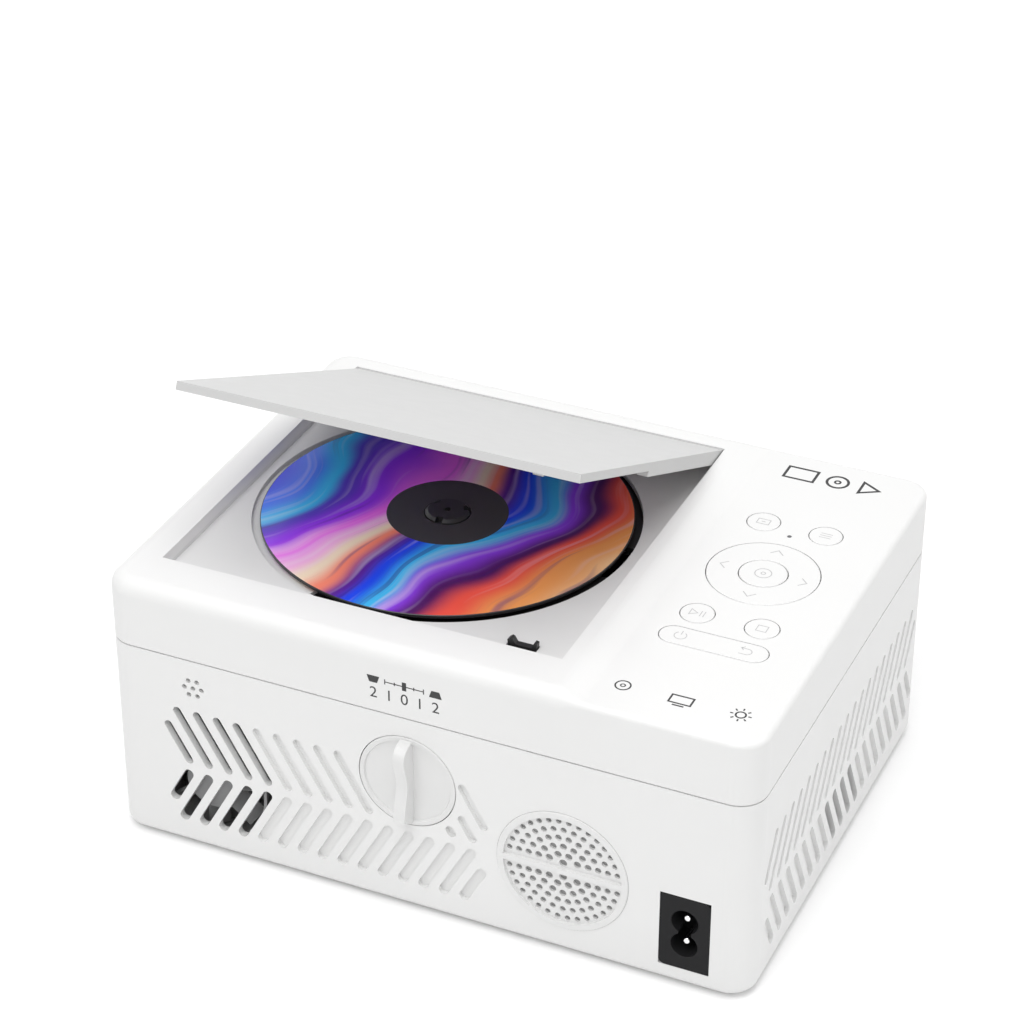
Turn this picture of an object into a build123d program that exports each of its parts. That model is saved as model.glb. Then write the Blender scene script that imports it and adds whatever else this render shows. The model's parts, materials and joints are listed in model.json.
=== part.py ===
from build123d import *
from math import asin, atan2, cos, degrees, hypot, radians, sin
import os

os.makedirs("parts", exist_ok=True)

# A small LCD projector with a top-loading disc player. Millimetres, Z up.
# -Y is the long side with the knob and speaker, +Y the lens side,
# +X the vented end and -X the end with the signal sockets.

# ---- case ----
case_w = 216.0
case_d = 161.0
foot_proud = 1.5
lower_h = 71.4
panel_h = 92.8
deck_h = 94.3
corner_r = 9.0
wall = 2.4
bottom_r = 3.0
deck_r = 5.0
panel_r = 1.8
seam_gap = 0.5
lip_h = 2.6
lip_t = 1.05
lip_gap = 0.15
step_w = 9.0

base_z = foot_proud
floor_z = base_z + wall
seam_z = base_z + lower_h
panel_z = base_z + panel_h
deck_z = base_z + deck_h
ceiling_z = panel_z - wall
rear_y = -case_d / 2
front_y = case_d / 2
vent_x = case_w / 2
port_x = -case_w / 2
inner_w = case_w - 2 * wall
inner_d = case_d - 2 * wall
inner_r = corner_r - wall
step_x1 = vent_x - 55.5
step_x0 = step_x1 - step_w

# ---- general clearances ----
run_fit = 0.06
slide_gap = 0.3
key_gap = 0.3
seat_gap = 0.05

# ---- disc bay and lid ----
bay_w = 135.0
bay_d = 134.0
bay_x = port_x + 79.8
bay_y = front_y - 76.7
bay_depth = 5.2
tray_t = 2.0
tray_flange = 2.2
tray_z = deck_z - bay_depth
bay_rear = bay_y + bay_d / 2
bay_front = bay_y - bay_d / 2

lid_t = 2.75
lid_gap = 0.4
lid_left_gap = 1.1
lid_open = 25.1
hinge_drop = 1.0
hinge_back = 1.17
lid_tail = 0.9
lid_tail_r = 0.7
arm_t = 3.6
arm_len = 72.0
arm_drop = 1.85
pin_r = 0.5
pin_in_shell = 5.0
hinge_y = bay_rear - hinge_back
hinge_z = deck_z - hinge_drop
lid_reach = hinge_y - bay_front - lid_gap

# ---- disc drive ----
disc_x = bay_x - 1.7
disc_y = bay_y + 0.4
disc_r = 60.0
disc_t = 1.2
disc_hole_r = 7.5
disc_top = deck_z - 4.6
disc_z = disc_top - disc_t
pit_r = 62.7
pit_floor_t = 1.6
ledge_in_r = 57.5
ledge_t = 1.25
ledge_turn = 19.0
pit_floor_z = disc_z - 2.4
table_r = 14.5
table_t = 2.1
chuck_r = 7.25
chuck_h = 2.3
spindle_r = 1.0
spindle_motor_r = 12.0
chassis_t = 1.2
chassis_z = 76.4
rod_z = 81.5
rod_r = 1.5
rod_y = 17.0
rod_x0 = 8.0
rod_x1 = 72.0
rod_post = 4.0
sled_x = 40.0
sled_l = 18.0
sled_w = 26.0
sled_screw_y = -24.5
sled_screw_r = 1.5
sled_motor_r = 3.7

# ---- lid latch ----
latch_x = bay_x + 51.0
latch_y = bay_front + 8.95
latch_w = 9.3
latch_t = 2.1
latch_travel = 1.2
latch_bar = 0.3
latch_horn = 2.2
catch_w = 3.2
catch_t = 1.2
catch_drop = 1.6

# ---- vents ----
thin_slot = 2.8
wide_slot = 3.4
slot_pitch = 7.0
side_pitch = 7.1
slot_depth = 1.6
upper_top = base_z + 52.1
upper_bottom = base_z + 31.7
upper_run = 11.7
lower_top = base_z + 28.8
lower_bottom = base_z + 8.8
lower_run = 11.0
upper_x0 = port_x + 23.8
lower_x0 = port_x + 35.1
side_upper_y0 = rear_y + 19.7
side_lower_y0 = rear_y + 16.5

# ---- knob and keystone drive ----
axis_x = -3.9
axis_z = base_z + 48.1
knob_r = 16.15
knob_hole_r = 16.4
bowl_r = 14.6
bowl_deep = 0.7
knob_t = 3.4
blade_t = 3.8
blade_high = 6.2
shaft_r = 4.0
gear_module = 1.5
knob_teeth = 28
screw_teeth = 14
gear_t = 4.0
gear_y = rear_y + 6.0
screw_r = 3.0
screw_z = axis_z - gear_module * (knob_teeth + screw_teeth) / 2
bracket_y = rear_y + 12.0
bracket_t = 2.0
lever_arm = 29.7
lever_z = axis_z - lever_arm
lever_x = axis_x + 9.0
lever_pin_r = 1.5

# ---- light path ----
lcd_y = 12.0
lcd_w = 74.0
lcd_h = 44.0
lcd_t = 4.0
trunnion_r = 1.5
tunnel_wall_x = lcd_w / 2 + 3.0
tunnel_z = 24.0
tunnel_t = 2.0
mirror_l = 60.0
mirror_h = 45.0
mirror_t = 2.0
mirror_y = -22.0
lens_r = 24.0
lens_bore_r = 21.6
focus_r = 30.2
lens_hole_r = 30.8

# ---- speaker, inlet, receiver ----
speaker_x = vent_x - 60.5
speaker_z = base_z + 30.25
speaker_ring_r = 21.5
speaker_plug_r = 20.1
speaker_face_r = 19.4
speaker_hole_r = 1.28
speaker_proud = 0.45
speaker_deep = 0.7
speaker_bar = 1.9
inlet_x = vent_x - 20.75
inlet_z = base_z + 19.6
inlet_w = 16.1
inlet_h = 26.9
inlet_pin_gap = 8.6
lobe_r = 4.3
ir_x = port_x + 30.7
ir_z = base_z + 61.0
ir_pitch = 3.0
ir_hole_r = 0.85

# ---- keys ----
keys_x = vent_x - 31.7
key_dx = 10.4
key_r = 5.4
upper_keys_y = 35.7
lower_keys_y = -21.8
pad_y = 7.2
pad_r = 17.8
ok_r = 7.7
rocker_y = -35.3
rocker_l = 34.7
rocker_w = 9.3
light_y = 30.8
light_r = 0.7
cap_lip = 1.2
cap_proud = 0.1
key_board_z = 84.0
key_board_w = 48.0
key_board_d = 98.0
board_t = 1.6
key_travel = 0.6
gimbal_r = 10.4
gimbal_pin_r = 0.45
gimbal_drop = 2.0
rocker_drop = 1.4

# ---- fasteners ----
boss_r = 4.2
boss_top_r = 3.4
screw_hole_r = 1.6
screw_shank_r = 1.5
screw_head_r = 2.8
screw_head_t = 2.3
head_below_seam = 20.0
boss_x0 = port_x + 6.7
boss_x1 = vent_x - 7.5
boss_spots = [(boss_x0, -46.5), (boss_x0, 46.5), (boss_x1, rear_y + 14.5), (boss_x1, front_y - 14.5)]
foot_x = vent_x - 22.0
foot_y = front_y - 16.5
foot_spots = [(-foot_x, -foot_y), (-foot_x, foot_y), (foot_x, -foot_y), (foot_x, foot_y)]
video_y = 14.0
data_y = 33.5
jack_ys = (58.0, 68.0)
socket_z = 18.0
foot_r = 8.0
foot_seat = 0.8
tripod_y = -24.0
tripod_r = 3.175
tripod_deep = 9.0

rear_face = Plane.XZ.offset(case_d / 2)
vent_face = Plane.YZ.offset(case_w / 2)


def at_y(y):
    # A plane facing -Y at the height y along the case depth.
    return Plane.XZ.offset(-y)


def slant_slot(top_at, top_z, run, bottom_z, width, start, end):
    # One slanted slot, cut to the part of its full length between start and end.
    x0 = top_at + run * start
    z0 = top_z + (bottom_z - top_z) * start
    x1 = top_at + run * end
    z1 = top_z + (bottom_z - top_z) * end
    with Locations(((x0 + x1) / 2, (z0 + z1) / 2)):
        SlotOverall(hypot(x1 - x0, z1 - z0), width, rotation=degrees(atan2(z1 - z0, x1 - x0)))


def rear_upper(index, start=0.0, end=1.0):
    slant_slot(upper_x0 + slot_pitch * index, upper_top, upper_run, upper_bottom, thin_slot, start, end)


def rear_lower(index, start=0.0, end=1.0):
    slant_slot(lower_x0 + slot_pitch * index, lower_top, -lower_run, lower_bottom, wide_slot, start, end)


def side_upper(index, start=0.0, end=1.0):
    top_at = side_upper_y0 + side_pitch * index
    slant_slot(top_at, upper_top, -upper_run, upper_bottom, thin_slot, start, end)


def side_lower(index, start=0.0, end=1.0):
    top_at = side_lower_y0 + side_pitch * index
    slant_slot(top_at, lower_top, lower_run, lower_bottom, wide_slot, start, end)


def finish(solid, name):
    solid.label = name
    export_step(solid, "parts/" + name + ".step")


# ---------------------------------------------------------------- case
with BuildPart() as lower_shell:
    with BuildSketch(Plane.XY.offset(base_z)):
        RectangleRounded(case_w, case_d, corner_r)
    extrude(amount=lower_h - seam_gap)
    fillet(lower_shell.edges().group_by(Axis.Z)[0], radius=bottom_r)
    with BuildSketch(Plane.XY.offset(floor_z)):
        RectangleRounded(inner_w, inner_d, inner_r)
    extrude(amount=lower_h, mode=Mode.SUBTRACT)
    # Tongue that the upper shell slips over.
    with BuildSketch(Plane.XY.offset(seam_z - seam_gap)):
        RectangleRounded(inner_w + 2 * lip_t, inner_d + 2 * lip_t, inner_r + lip_t)
        RectangleRounded(inner_w, inner_d, inner_r, mode=Mode.SUBTRACT)
    extrude(amount=seam_gap + lip_h)
    # Screw bosses with a deep counterbore from below.
    with BuildSketch(Plane.XY.offset(floor_z)):
        with Locations(*boss_spots):
            Circle(boss_r)
    extrude(amount=seam_z - seam_gap - floor_z)
    with BuildSketch(Plane.XY.offset(base_z)):
        with Locations(*boss_spots):
            Circle(screw_hole_r)
    extrude(amount=lower_h, mode=Mode.SUBTRACT)
    with BuildSketch(Plane.XY.offset(base_z)):
        with Locations(*boss_spots):
            Circle(screw_head_r + slide_gap)
    extrude(amount=seam_z - head_below_seam - base_z, mode=Mode.SUBTRACT)
    # Boss round the tripod insert.
    with BuildSketch(Plane.XY.offset(floor_z)):
        with Locations((0, tripod_y)):
            Circle(8.0)
    extrude(amount=8.5)
    with BuildSketch(Plane.XY.offset(base_z)):
        with Locations((0, tripod_y)):
            Circle(5.5 + seat_gap)
    extrude(amount=tripod_deep + 0.6, mode=Mode.SUBTRACT)
    # Shallow seats for the feet.
    with BuildSketch(Plane.XY.offset(base_z)):
        with Locations(*foot_spots):
            Circle(foot_r + 0.15)
    extrude(amount=foot_seat, mode=Mode.SUBTRACT)
    # Through slots by the lamp fan, then the blind ones that match them.
    with BuildSketch(rear_face):
        rear_upper(-1, start=0.3)
        rear_lower(-1, end=0.64)
        for index in range(4):
            rear_upper(index)
            rear_lower(index)
    extrude(amount=-2 * wall, mode=Mode.SUBTRACT)
    with BuildSketch(rear_face):
        for index in range(4, 9):
            rear_upper(index)
        rear_upper(12, start=0.83)
        rear_upper(13, start=0.58)
        rear_upper(14, end=0.72)
        for index in range(4, 14):
            rear_lower(index)
        rear_lower(14, start=0.33)
    extrude(amount=-slot_depth, mode=Mode.SUBTRACT)
    with BuildSketch(vent_face):
        for index in range(7, 11):
            side_lower(index)
    extrude(amount=-2 * wall, mode=Mode.SUBTRACT)
    with BuildSketch(vent_face):
        side_upper(0, end=0.75)
        for index in range(1, 19):
            side_upper(index)
        side_upper(19, start=0.3)
        side_lower(-1, start=0.35)
        for index in range(7):
            side_lower(index)
        for index in range(11, 18):
            side_lower(index)
        side_lower(18, end=0.7)
    extrude(amount=-slot_depth, mode=Mode.SUBTRACT)
    # Receiver holes, knob, speaker and inlet openings.
    with BuildSketch(rear_face):
        with Locations((ir_x, ir_z)):
            Circle(ir_hole_r)
            with PolarLocations(ir_pitch, 6):
                Circle(ir_hole_r)
        with Locations((axis_x, axis_z)):
            Circle(knob_hole_r)
        with Locations((speaker_x, speaker_z)):
            Circle(speaker_plug_r + 0.2)
        with Locations((inlet_x, inlet_z)):
            Rectangle(inlet_w + 0.2, inlet_h + 0.2)
    extrude(amount=-2 * wall, mode=Mode.SUBTRACT)
    # Lens opening in the far long side.
    with BuildSketch(at_y(front_y + 1.0)):
        with Locations((axis_x, axis_z)):
            Circle(lens_hole_r)
    extrude(amount=2 * wall, mode=Mode.SUBTRACT)
    # Windows for the signal sockets.
    with BuildSketch(Plane.YZ.offset(port_x)):
        with Locations((video_y, socket_z)):
            Rectangle(15.6, 6.4)
        with Locations((data_y, socket_z + 0.6)):
            Rectangle(13.8, 7.6)
        for jack_y in jack_ys:
            with Locations((jack_y, socket_z)):
                Circle(3.3)
    extrude(amount=2 * wall, mode=Mode.SUBTRACT)
finish(lower_shell.part, "lower_shell")

# Raised deck over the bay, with a soft outer edge.
with BuildPart() as deck_block:
    with BuildSketch(Plane.XY.offset(seam_z)):
        RectangleRounded(case_w, case_d, corner_r)
        with Locations((step_x0, 0)):
            Rectangle(case_w * 2, case_d * 2, align=(Align.MIN, Align.CENTER), mode=Mode.SUBTRACT)
    extrude(amount=deck_z - seam_z)
    deck_edges = deck_block.faces().sort_by(Axis.Z)[-1].edges()
    fillet(deck_edges.filter_by(lambda edge: edge.center().X < step_x0 - 0.1), radius=deck_r)

# Key panel, a little lower and crisper.
with BuildPart() as panel_block:
    with BuildSketch(Plane.XY.offset(seam_z)):
        RectangleRounded(case_w, case_d, corner_r)
        with Locations((step_x1, 0)):
            Rectangle(case_w * 2, case_d * 2, align=(Align.MAX, Align.CENTER), mode=Mode.SUBTRACT)
    extrude(amount=panel_z - seam_z)
    panel_edges = panel_block.faces().sort_by(Axis.Z)[-1].edges()
    fillet(panel_edges.filter_by(lambda edge: edge.center().X > step_x1 + 0.1), radius=panel_r)

# Smooth step between the two levels.
with BuildPart() as step_block:
    for fraction in (0.0, 0.25, 0.5, 0.75, 1.0):
        ease = fraction * fraction * (3 - 2 * fraction)
        top = deck_z + (panel_z - deck_z) * ease
        edge_r = deck_r + (panel_r - deck_r) * ease
        with BuildSketch(Plane.YZ.offset(step_x0 + (step_x1 - step_x0) * fraction)):
            with BuildLine():
                Polyline(
                    (rear_y, top - edge_r),
                    (rear_y, seam_z),
                    (front_y, seam_z),
                    (front_y, top - edge_r),
                )
                RadiusArc((front_y, top - edge_r), (front_y - edge_r, top), -edge_r)
                Line((front_y - edge_r, top), (rear_y + edge_r, top))
                RadiusArc((rear_y + edge_r, top), (rear_y, top - edge_r), -edge_r)
            make_face()
    loft()

with BuildPart() as upper_shell:
    add(deck_block.part)
    add(step_block.part)
    add(panel_block.part)
    with BuildSketch(Plane.XY.offset(seam_z)):
        RectangleRounded(inner_w, inner_d, inner_r)
    extrude(amount=ceiling_z - seam_z, mode=Mode.SUBTRACT)
    with BuildSketch(Plane.XY.offset(seam_z)):
        groove = 2 * (lip_t + lip_gap)
        RectangleRounded(inner_w + groove, inner_d + groove, inner_r + lip_t + lip_gap)
    extrude(amount=lip_h + 0.4, mode=Mode.SUBTRACT)
    with BuildSketch(Plane.XY.offset(ceiling_z)):
        with Locations((bay_x, bay_y)):
            Rectangle(bay_w, bay_d)
        with Locations((keys_x - key_dx, upper_keys_y), (keys_x + key_dx, upper_keys_y)):
            Circle(key_r + key_gap / 2)
        with Locations((keys_x - key_dx, lower_keys_y), (keys_x + key_dx, lower_keys_y)):
            Circle(key_r + key_gap / 2)
        with Locations((keys_x, pad_y)):
            Circle(pad_r + key_gap / 2)
        with Locations((keys_x, rocker_y)):
            SlotOverall(rocker_l + key_gap, rocker_w + key_gap)
        with Locations((keys_x, light_y)):
            Circle(light_r + 0.05)
    extrude(amount=deck_z, mode=Mode.SUBTRACT)
    with BuildSketch(at_y(front_y + 1.0)):
        with Locations((axis_x, axis_z)):
            Circle(lens_hole_r)
    extrude(amount=2 * wall, mode=Mode.SUBTRACT)
    # Posts that carry the key board.
    with BuildSketch(Plane.XY.offset(key_board_z + board_t)):
        with Locations((keys_x, 0.0)):
            with GridLocations(key_board_w - 5.0, key_board_d - 5.0, 2, 2):
                Circle(1.8)
    extrude(amount=ceiling_z - key_board_z - board_t)
    # Upper halves of the screw bosses.
    with BuildSketch(Plane.XY.offset(seam_z + 0.2)):
        with Locations(*boss_spots):
            Circle(boss_top_r)
            Circle(screw_hole_r, mode=Mode.SUBTRACT)
    extrude(amount=ceiling_z - seam_z - 0.2)
    # Holes in the bay's side walls for the lid pins.
    with BuildSketch(Plane.YZ.offset(bay_x - bay_w / 2 - pin_in_shell)):
        with Locations((hinge_y, hinge_z)):
            Circle(pin_r + seat_gap)
    extrude(amount=bay_w + 2 * pin_in_shell, mode=Mode.SUBTRACT)
finish(upper_shell.part, "upper_shell")

with BuildPart() as rubber_feet:
    with BuildSketch(Plane.XY):
        with Locations(*foot_spots):
            Circle(foot_r)
    extrude(amount=foot_proud + foot_seat - seat_gap)
    fillet(rubber_feet.edges().group_by(Axis.Z)[0], radius=0.8)
finish(rubber_feet.part, "rubber_feet")

with BuildPart() as case_screws:
    with BuildSketch(Plane.XY.offset(seam_z - head_below_seam - screw_head_t)):
        with Locations(*boss_spots):
            Circle(screw_head_r)
    extrude(amount=screw_head_t)
    with BuildSketch(Plane.XY.offset(seam_z - head_below_seam)):
        with Locations(*boss_spots):
            Circle(screw_shank_r)
    extrude(amount=head_below_seam + 9.0)
    with BuildSketch(Plane.XY.offset(seam_z - head_below_seam - screw_head_t)):
        for spot in boss_spots:
            with Locations(spot):
                Rectangle(3.2, 0.8)
                Rectangle(0.8, 3.2)
    extrude(amount=1.2, mode=Mode.SUBTRACT)
finish(case_screws.part, "case_screws")

with BuildPart() as tripod_insert:
    with BuildSketch(Plane.XY.offset(base_z)):
        with Locations((0, tripod_y)):
            Circle(5.5)
            Circle(tripod_r, mode=Mode.SUBTRACT)
    extrude(amount=tripod_deep)
    chamfer(tripod_insert.edges().group_by(Axis.Z)[0], length=0.4)
finish(tripod_insert.part, "tripod_insert")

# ---------------------------------------------------------------- disc bay
with BuildPart() as bay_tray:
    with BuildSketch(Plane.XY.offset(tray_z - tray_t)):
        with Locations((bay_x, bay_y)):
            Rectangle(bay_w + 2 * tray_flange, bay_d + 2 * tray_flange)
        with Locations((disc_x, disc_y)):
            Circle(pit_r, mode=Mode.SUBTRACT)
    extrude(amount=tray_t)
    # Rim that closes the gap up to the underside of the deck.
    with BuildSketch(Plane.XY.offset(tray_z)):
        with Locations((bay_x, bay_y)):
            Rectangle(bay_w + 2 * tray_flange, bay_d + 2 * tray_flange)
            Rectangle(bay_w, bay_d, mode=Mode.SUBTRACT)
    extrude(amount=ceiling_z - tray_z)
    # Ledge under the disc's edge on the left, so that little of the black deck shows there.
    with BuildSketch(Plane.XY.offset(pit_floor_z + 0.05)):
        with Locations((disc_x, disc_y)):
            Circle(pit_r + 0.4)
            Circle(ledge_in_r, mode=Mode.SUBTRACT)
            Rectangle(
                2 * pit_r,
                4 * pit_r,
                rotation=-ledge_turn,
                align=(Align.MIN, Align.CENTER),
                mode=Mode.SUBTRACT,
            )
    extrude(amount=ledge_t)
    # Slot that the latch stands in.
    with BuildSketch(Plane.XY.offset(tray_z - tray_t)):
        with Locations((latch_x, latch_y - latch_travel / 2)):
            Rectangle(latch_w + 0.6, latch_t + latch_travel + 0.8)
    extrude(amount=tray_t, mode=Mode.SUBTRACT)
finish(bay_tray.part, "bay_tray")

with BuildPart() as loader_deck:
    with BuildSketch(Plane.XY.offset(pit_floor_z - pit_floor_t)):
        with Locations((disc_x, disc_y)):
            Circle(pit_r + 3.3)
            Circle(table_r + 1.5, mode=Mode.SUBTRACT)
        with Locations((disc_x + 10.0, disc_y)):
            Rectangle(51.0, 19.0, align=(Align.MIN, Align.CENTER), mode=Mode.SUBTRACT)
    extrude(amount=pit_floor_t)
    with BuildSketch(Plane.XY.offset(pit_floor_z)):
        with Locations((disc_x, disc_y)):
            Circle(pit_r + 3.3)
            Circle(pit_r + 0.5, mode=Mode.SUBTRACT)
    extrude(amount=tray_z - tray_t - pit_floor_z)
finish(loader_deck.part, "loader_deck")

# The lid is drawn in its own plane, tipped open about the hinge line.
lid_w = bay_w - lid_gap - lid_left_gap
lid_x = bay_x + (lid_left_gap - lid_gap) / 2
lid_plane = Plane(
    origin=(lid_x, hinge_y, hinge_z),
    x_dir=(1, 0, 0),
    z_dir=(0, sin(radians(lid_open)), cos(radians(lid_open))),
)
with BuildPart() as disc_lid:
    with BuildSketch(lid_plane.offset(hinge_drop - lid_t)):
        with Locations((0, lid_tail)):
            Rectangle(lid_w, lid_reach + lid_tail, align=(Align.CENTER, Align.MAX))
    extrude(amount=lid_t)
    with BuildSketch(lid_plane.offset(hinge_drop - lid_t - arm_drop)):
        with Locations((-lid_w / 2, 0)):
            Rectangle(arm_t, arm_len, align=(Align.MIN, Align.MAX))
        with Locations((lid_w / 2, 0)):
            Rectangle(arm_t, arm_len, align=(Align.MAX, Align.MAX))
    extrude(amount=arm_drop + 0.5)
    # Catch that drops between the latch horns.
    with BuildSketch(lid_plane.offset(hinge_drop - lid_t - catch_drop)):
        with Locations((latch_x - lid_x, latch_y - hinge_y)):
            Rectangle(catch_w, catch_t)
    extrude(amount=catch_drop + 0.5)
    # Rounded tail so that the rear edge clears the bay wall as it swings.
    long_edges = disc_lid.edges().filter_by(Axis.X).filter_by(lambda edge: edge.length > lid_w - 1)
    fillet(long_edges.sort_by(Axis.Y)[-1], radius=lid_tail_r)
    with BuildSketch(Plane.YZ.offset(lid_x - lid_w / 2)):
        with Locations((hinge_y, hinge_z)):
            Circle(pin_r + run_fit)
    extrude(amount=arm_t, mode=Mode.SUBTRACT)
    with BuildSketch(Plane.YZ.offset(lid_x + lid_w / 2 - arm_t)):
        with Locations((hinge_y, hinge_z)):
            Circle(pin_r + run_fit)
    extrude(amount=arm_t, mode=Mode.SUBTRACT)
finish(disc_lid.part, "disc_lid")

pin_end = pin_in_shell - 0.2
with BuildPart() as lid_pins:
    with BuildSketch(Plane.YZ.offset(bay_x - bay_w / 2 - pin_end)):
        with Locations((hinge_y, hinge_z)):
            Circle(pin_r)
    extrude(amount=pin_end + lid_left_gap + arm_t - 0.3)
    with BuildSketch(Plane.YZ.offset(bay_x + bay_w / 2 + pin_end)):
        with Locations((hinge_y, hinge_z)):
            Circle(pin_r)
    extrude(amount=-(pin_end + lid_gap + arm_t - 0.3))
finish(lid_pins.part, "lid_pins")

with BuildPart() as lid_latch:
    with BuildSketch(Plane.XY.offset(tray_z - tray_t - 0.2)):
        with Locations((latch_x, latch_y)):
            Rectangle(latch_w, latch_t)
    extrude(amount=tray_t + 0.2 + latch_bar)
    with BuildSketch(at_y(latch_y - latch_t / 2)):
        with BuildLine():
            Polyline(
                (latch_x - latch_w / 2, tray_z + latch_bar - 0.2),
                (latch_x - latch_w / 2 - 0.2, tray_z + latch_horn - 0.8),
                (latch_x - latch_w / 2 + 0.8, tray_z + latch_horn),
                (latch_x - latch_w / 2 + 1.5, tray_z + latch_horn - 0.2),
                (latch_x - latch_w / 2 + 2.6, tray_z + latch_bar - 0.2),
                close=True,
            )
        make_face()
        with BuildLine():
            Polyline(
                (latch_x + latch_w / 2, tray_z + latch_bar - 0.2),
                (latch_x + latch_w / 2 + 0.2, tray_z + latch_horn - 0.2),
                (latch_x + latch_w / 2 - 0.8, tray_z + latch_horn),
                (latch_x + latch_w / 2 - 1.9, tray_z + latch_bar - 0.2),
                close=True,
            )
        make_face()
    extrude(amount=-latch_t)
    with BuildSketch(Plane.XY.offset(tray_z - tray_t - 1.4)):
        with Locations((latch_x, latch_y)):
            Rectangle(latch_w + 4.0, latch_t + 3.0)
    extrude(amount=1.2)
finish(lid_latch.part, "lid_latch")

# ---------------------------------------------------------------- disc drive
with BuildPart() as disc:
    with BuildSketch(Plane.XY.offset(disc_z)):
        with Locations((disc_x, disc_y)):
            Circle(disc_r)
            Circle(disc_hole_r, mode=Mode.SUBTRACT)
    extrude(amount=disc_t)
    chamfer(disc.edges().filter_by(GeomType.CIRCLE), length=0.15)
finish(disc.part, "disc")

with BuildPart() as turntable:
    with BuildSketch(Plane.XY.offset(disc_z - table_t)):
        with Locations((disc_x, disc_y)):
            Circle(table_r)
    extrude(amount=table_t)
    with BuildSketch(Plane.XY.offset(disc_z)):
        with Locations((disc_x, disc_y)):
            Circle(chuck_r)
    extrude(amount=chuck_h)
    chuck_top = turntable.faces().sort_by(Axis.Z)[-1].edges()
    chamfer(chuck_top, length=0.9)
    # Three sprung jaws, told apart by narrow slots, and a dimple in the middle.
    with BuildSketch(Plane.XY.offset(disc_z + chuck_h)):
        with Locations((disc_x, disc_y)):
            Circle(1.1)
            with PolarLocations(chuck_r - 0.9, 3, start_angle=30):
                Rectangle(2.2, 2.4)
    extrude(amount=-1.6, mode=Mode.SUBTRACT)
    with BuildSketch(Plane.XY.offset(disc_z - table_t)):
        with Locations((disc_x, disc_y)):
            Circle(spindle_r)
    extrude(amount=-8.0)
finish(turntable.part, "turntable")

motor_top = disc_z - table_t - 1.6
with BuildPart() as spindle_motor:
    with BuildSketch(Plane.XY.offset(chassis_z + chassis_t)):
        with Locations((disc_x, disc_y)):
            Circle(spindle_motor_r)
    extrude(amount=motor_top - chassis_z - chassis_t)
    chamfer(spindle_motor.edges().group_by(Axis.Z)[-1], length=0.8)
    with BuildSketch(Plane.XY.offset(motor_top)):
        with Locations((disc_x, disc_y)):
            Circle(spindle_r + run_fit)
    extrude(amount=-7.0, mode=Mode.SUBTRACT)
finish(spindle_motor.part, "spindle_motor")

with BuildPart() as traverse_chassis:
    with BuildSketch(Plane.XY.offset(chassis_z)):
        with Locations((disc_x - 24.0, disc_y)):
            Rectangle(96.0, 66.0, align=(Align.MIN, Align.CENTER))
        with Locations((disc_x + 20.0, disc_y)):
            Rectangle(42.0, 24.0, align=(Align.MIN, Align.CENTER), mode=Mode.SUBTRACT)
    extrude(amount=chassis_t)
    fillet(traverse_chassis.edges().filter_by(Axis.Z), radius=2.0)
    # Upright posts that hold the two guide rods and the far end of the screw.
    with BuildSketch(Plane.XY.offset(chassis_z + chassis_t)):
        with Locations((disc_x + rod_x0, disc_y + rod_y), (disc_x + rod_x0, disc_y - rod_y)):
            Rectangle(rod_post, 6.0, align=(Align.MIN, Align.CENTER))
        with Locations((disc_x + rod_x1, disc_y + rod_y), (disc_x + rod_x1, disc_y - rod_y)):
            Rectangle(rod_post, 6.0, align=(Align.MAX, Align.CENTER))
        with Locations((disc_x + rod_x1, disc_y + sled_screw_y)):
            Rectangle(rod_post, 6.0, align=(Align.MAX, Align.CENTER))
    extrude(amount=rod_z + 2.6 - chassis_z - chassis_t)
    with BuildSketch(Plane.YZ.offset(disc_x + rod_x0)):
        with Locations((disc_y + rod_y, rod_z), (disc_y - rod_y, rod_z)):
            Circle(rod_r + seat_gap)
        with Locations((disc_y + sled_screw_y, rod_z)):
            Circle(sled_screw_r + run_fit)
    extrude(amount=rod_x1 - rod_x0, mode=Mode.SUBTRACT)
    # Pillars up to the underside of the loader deck.
    with BuildSketch(Plane.XY.offset(chassis_z + chassis_t)):
        with Locations((disc_x - 20.0, disc_y - 29.0), (disc_x - 20.0, disc_y + 29.0)):
            Circle(3.0)
        with Locations((disc_x + 66.0, disc_y - 29.0), (disc_x + 66.0, disc_y + 29.0)):
            Circle(3.0)
    extrude(amount=pit_floor_z - pit_floor_t - chassis_z - chassis_t)
finish(traverse_chassis.part, "traverse_chassis")

with BuildPart() as sled_rods:
    with BuildSketch(Plane.YZ.offset(disc_x + rod_x0 + 0.2)):
        with Locations((disc_y + rod_y, rod_z), (disc_y - rod_y, rod_z)):
            Circle(rod_r)
    extrude(amount=rod_x1 - rod_x0 - 0.4)
finish(sled_rods.part, "sled_rods")

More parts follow.
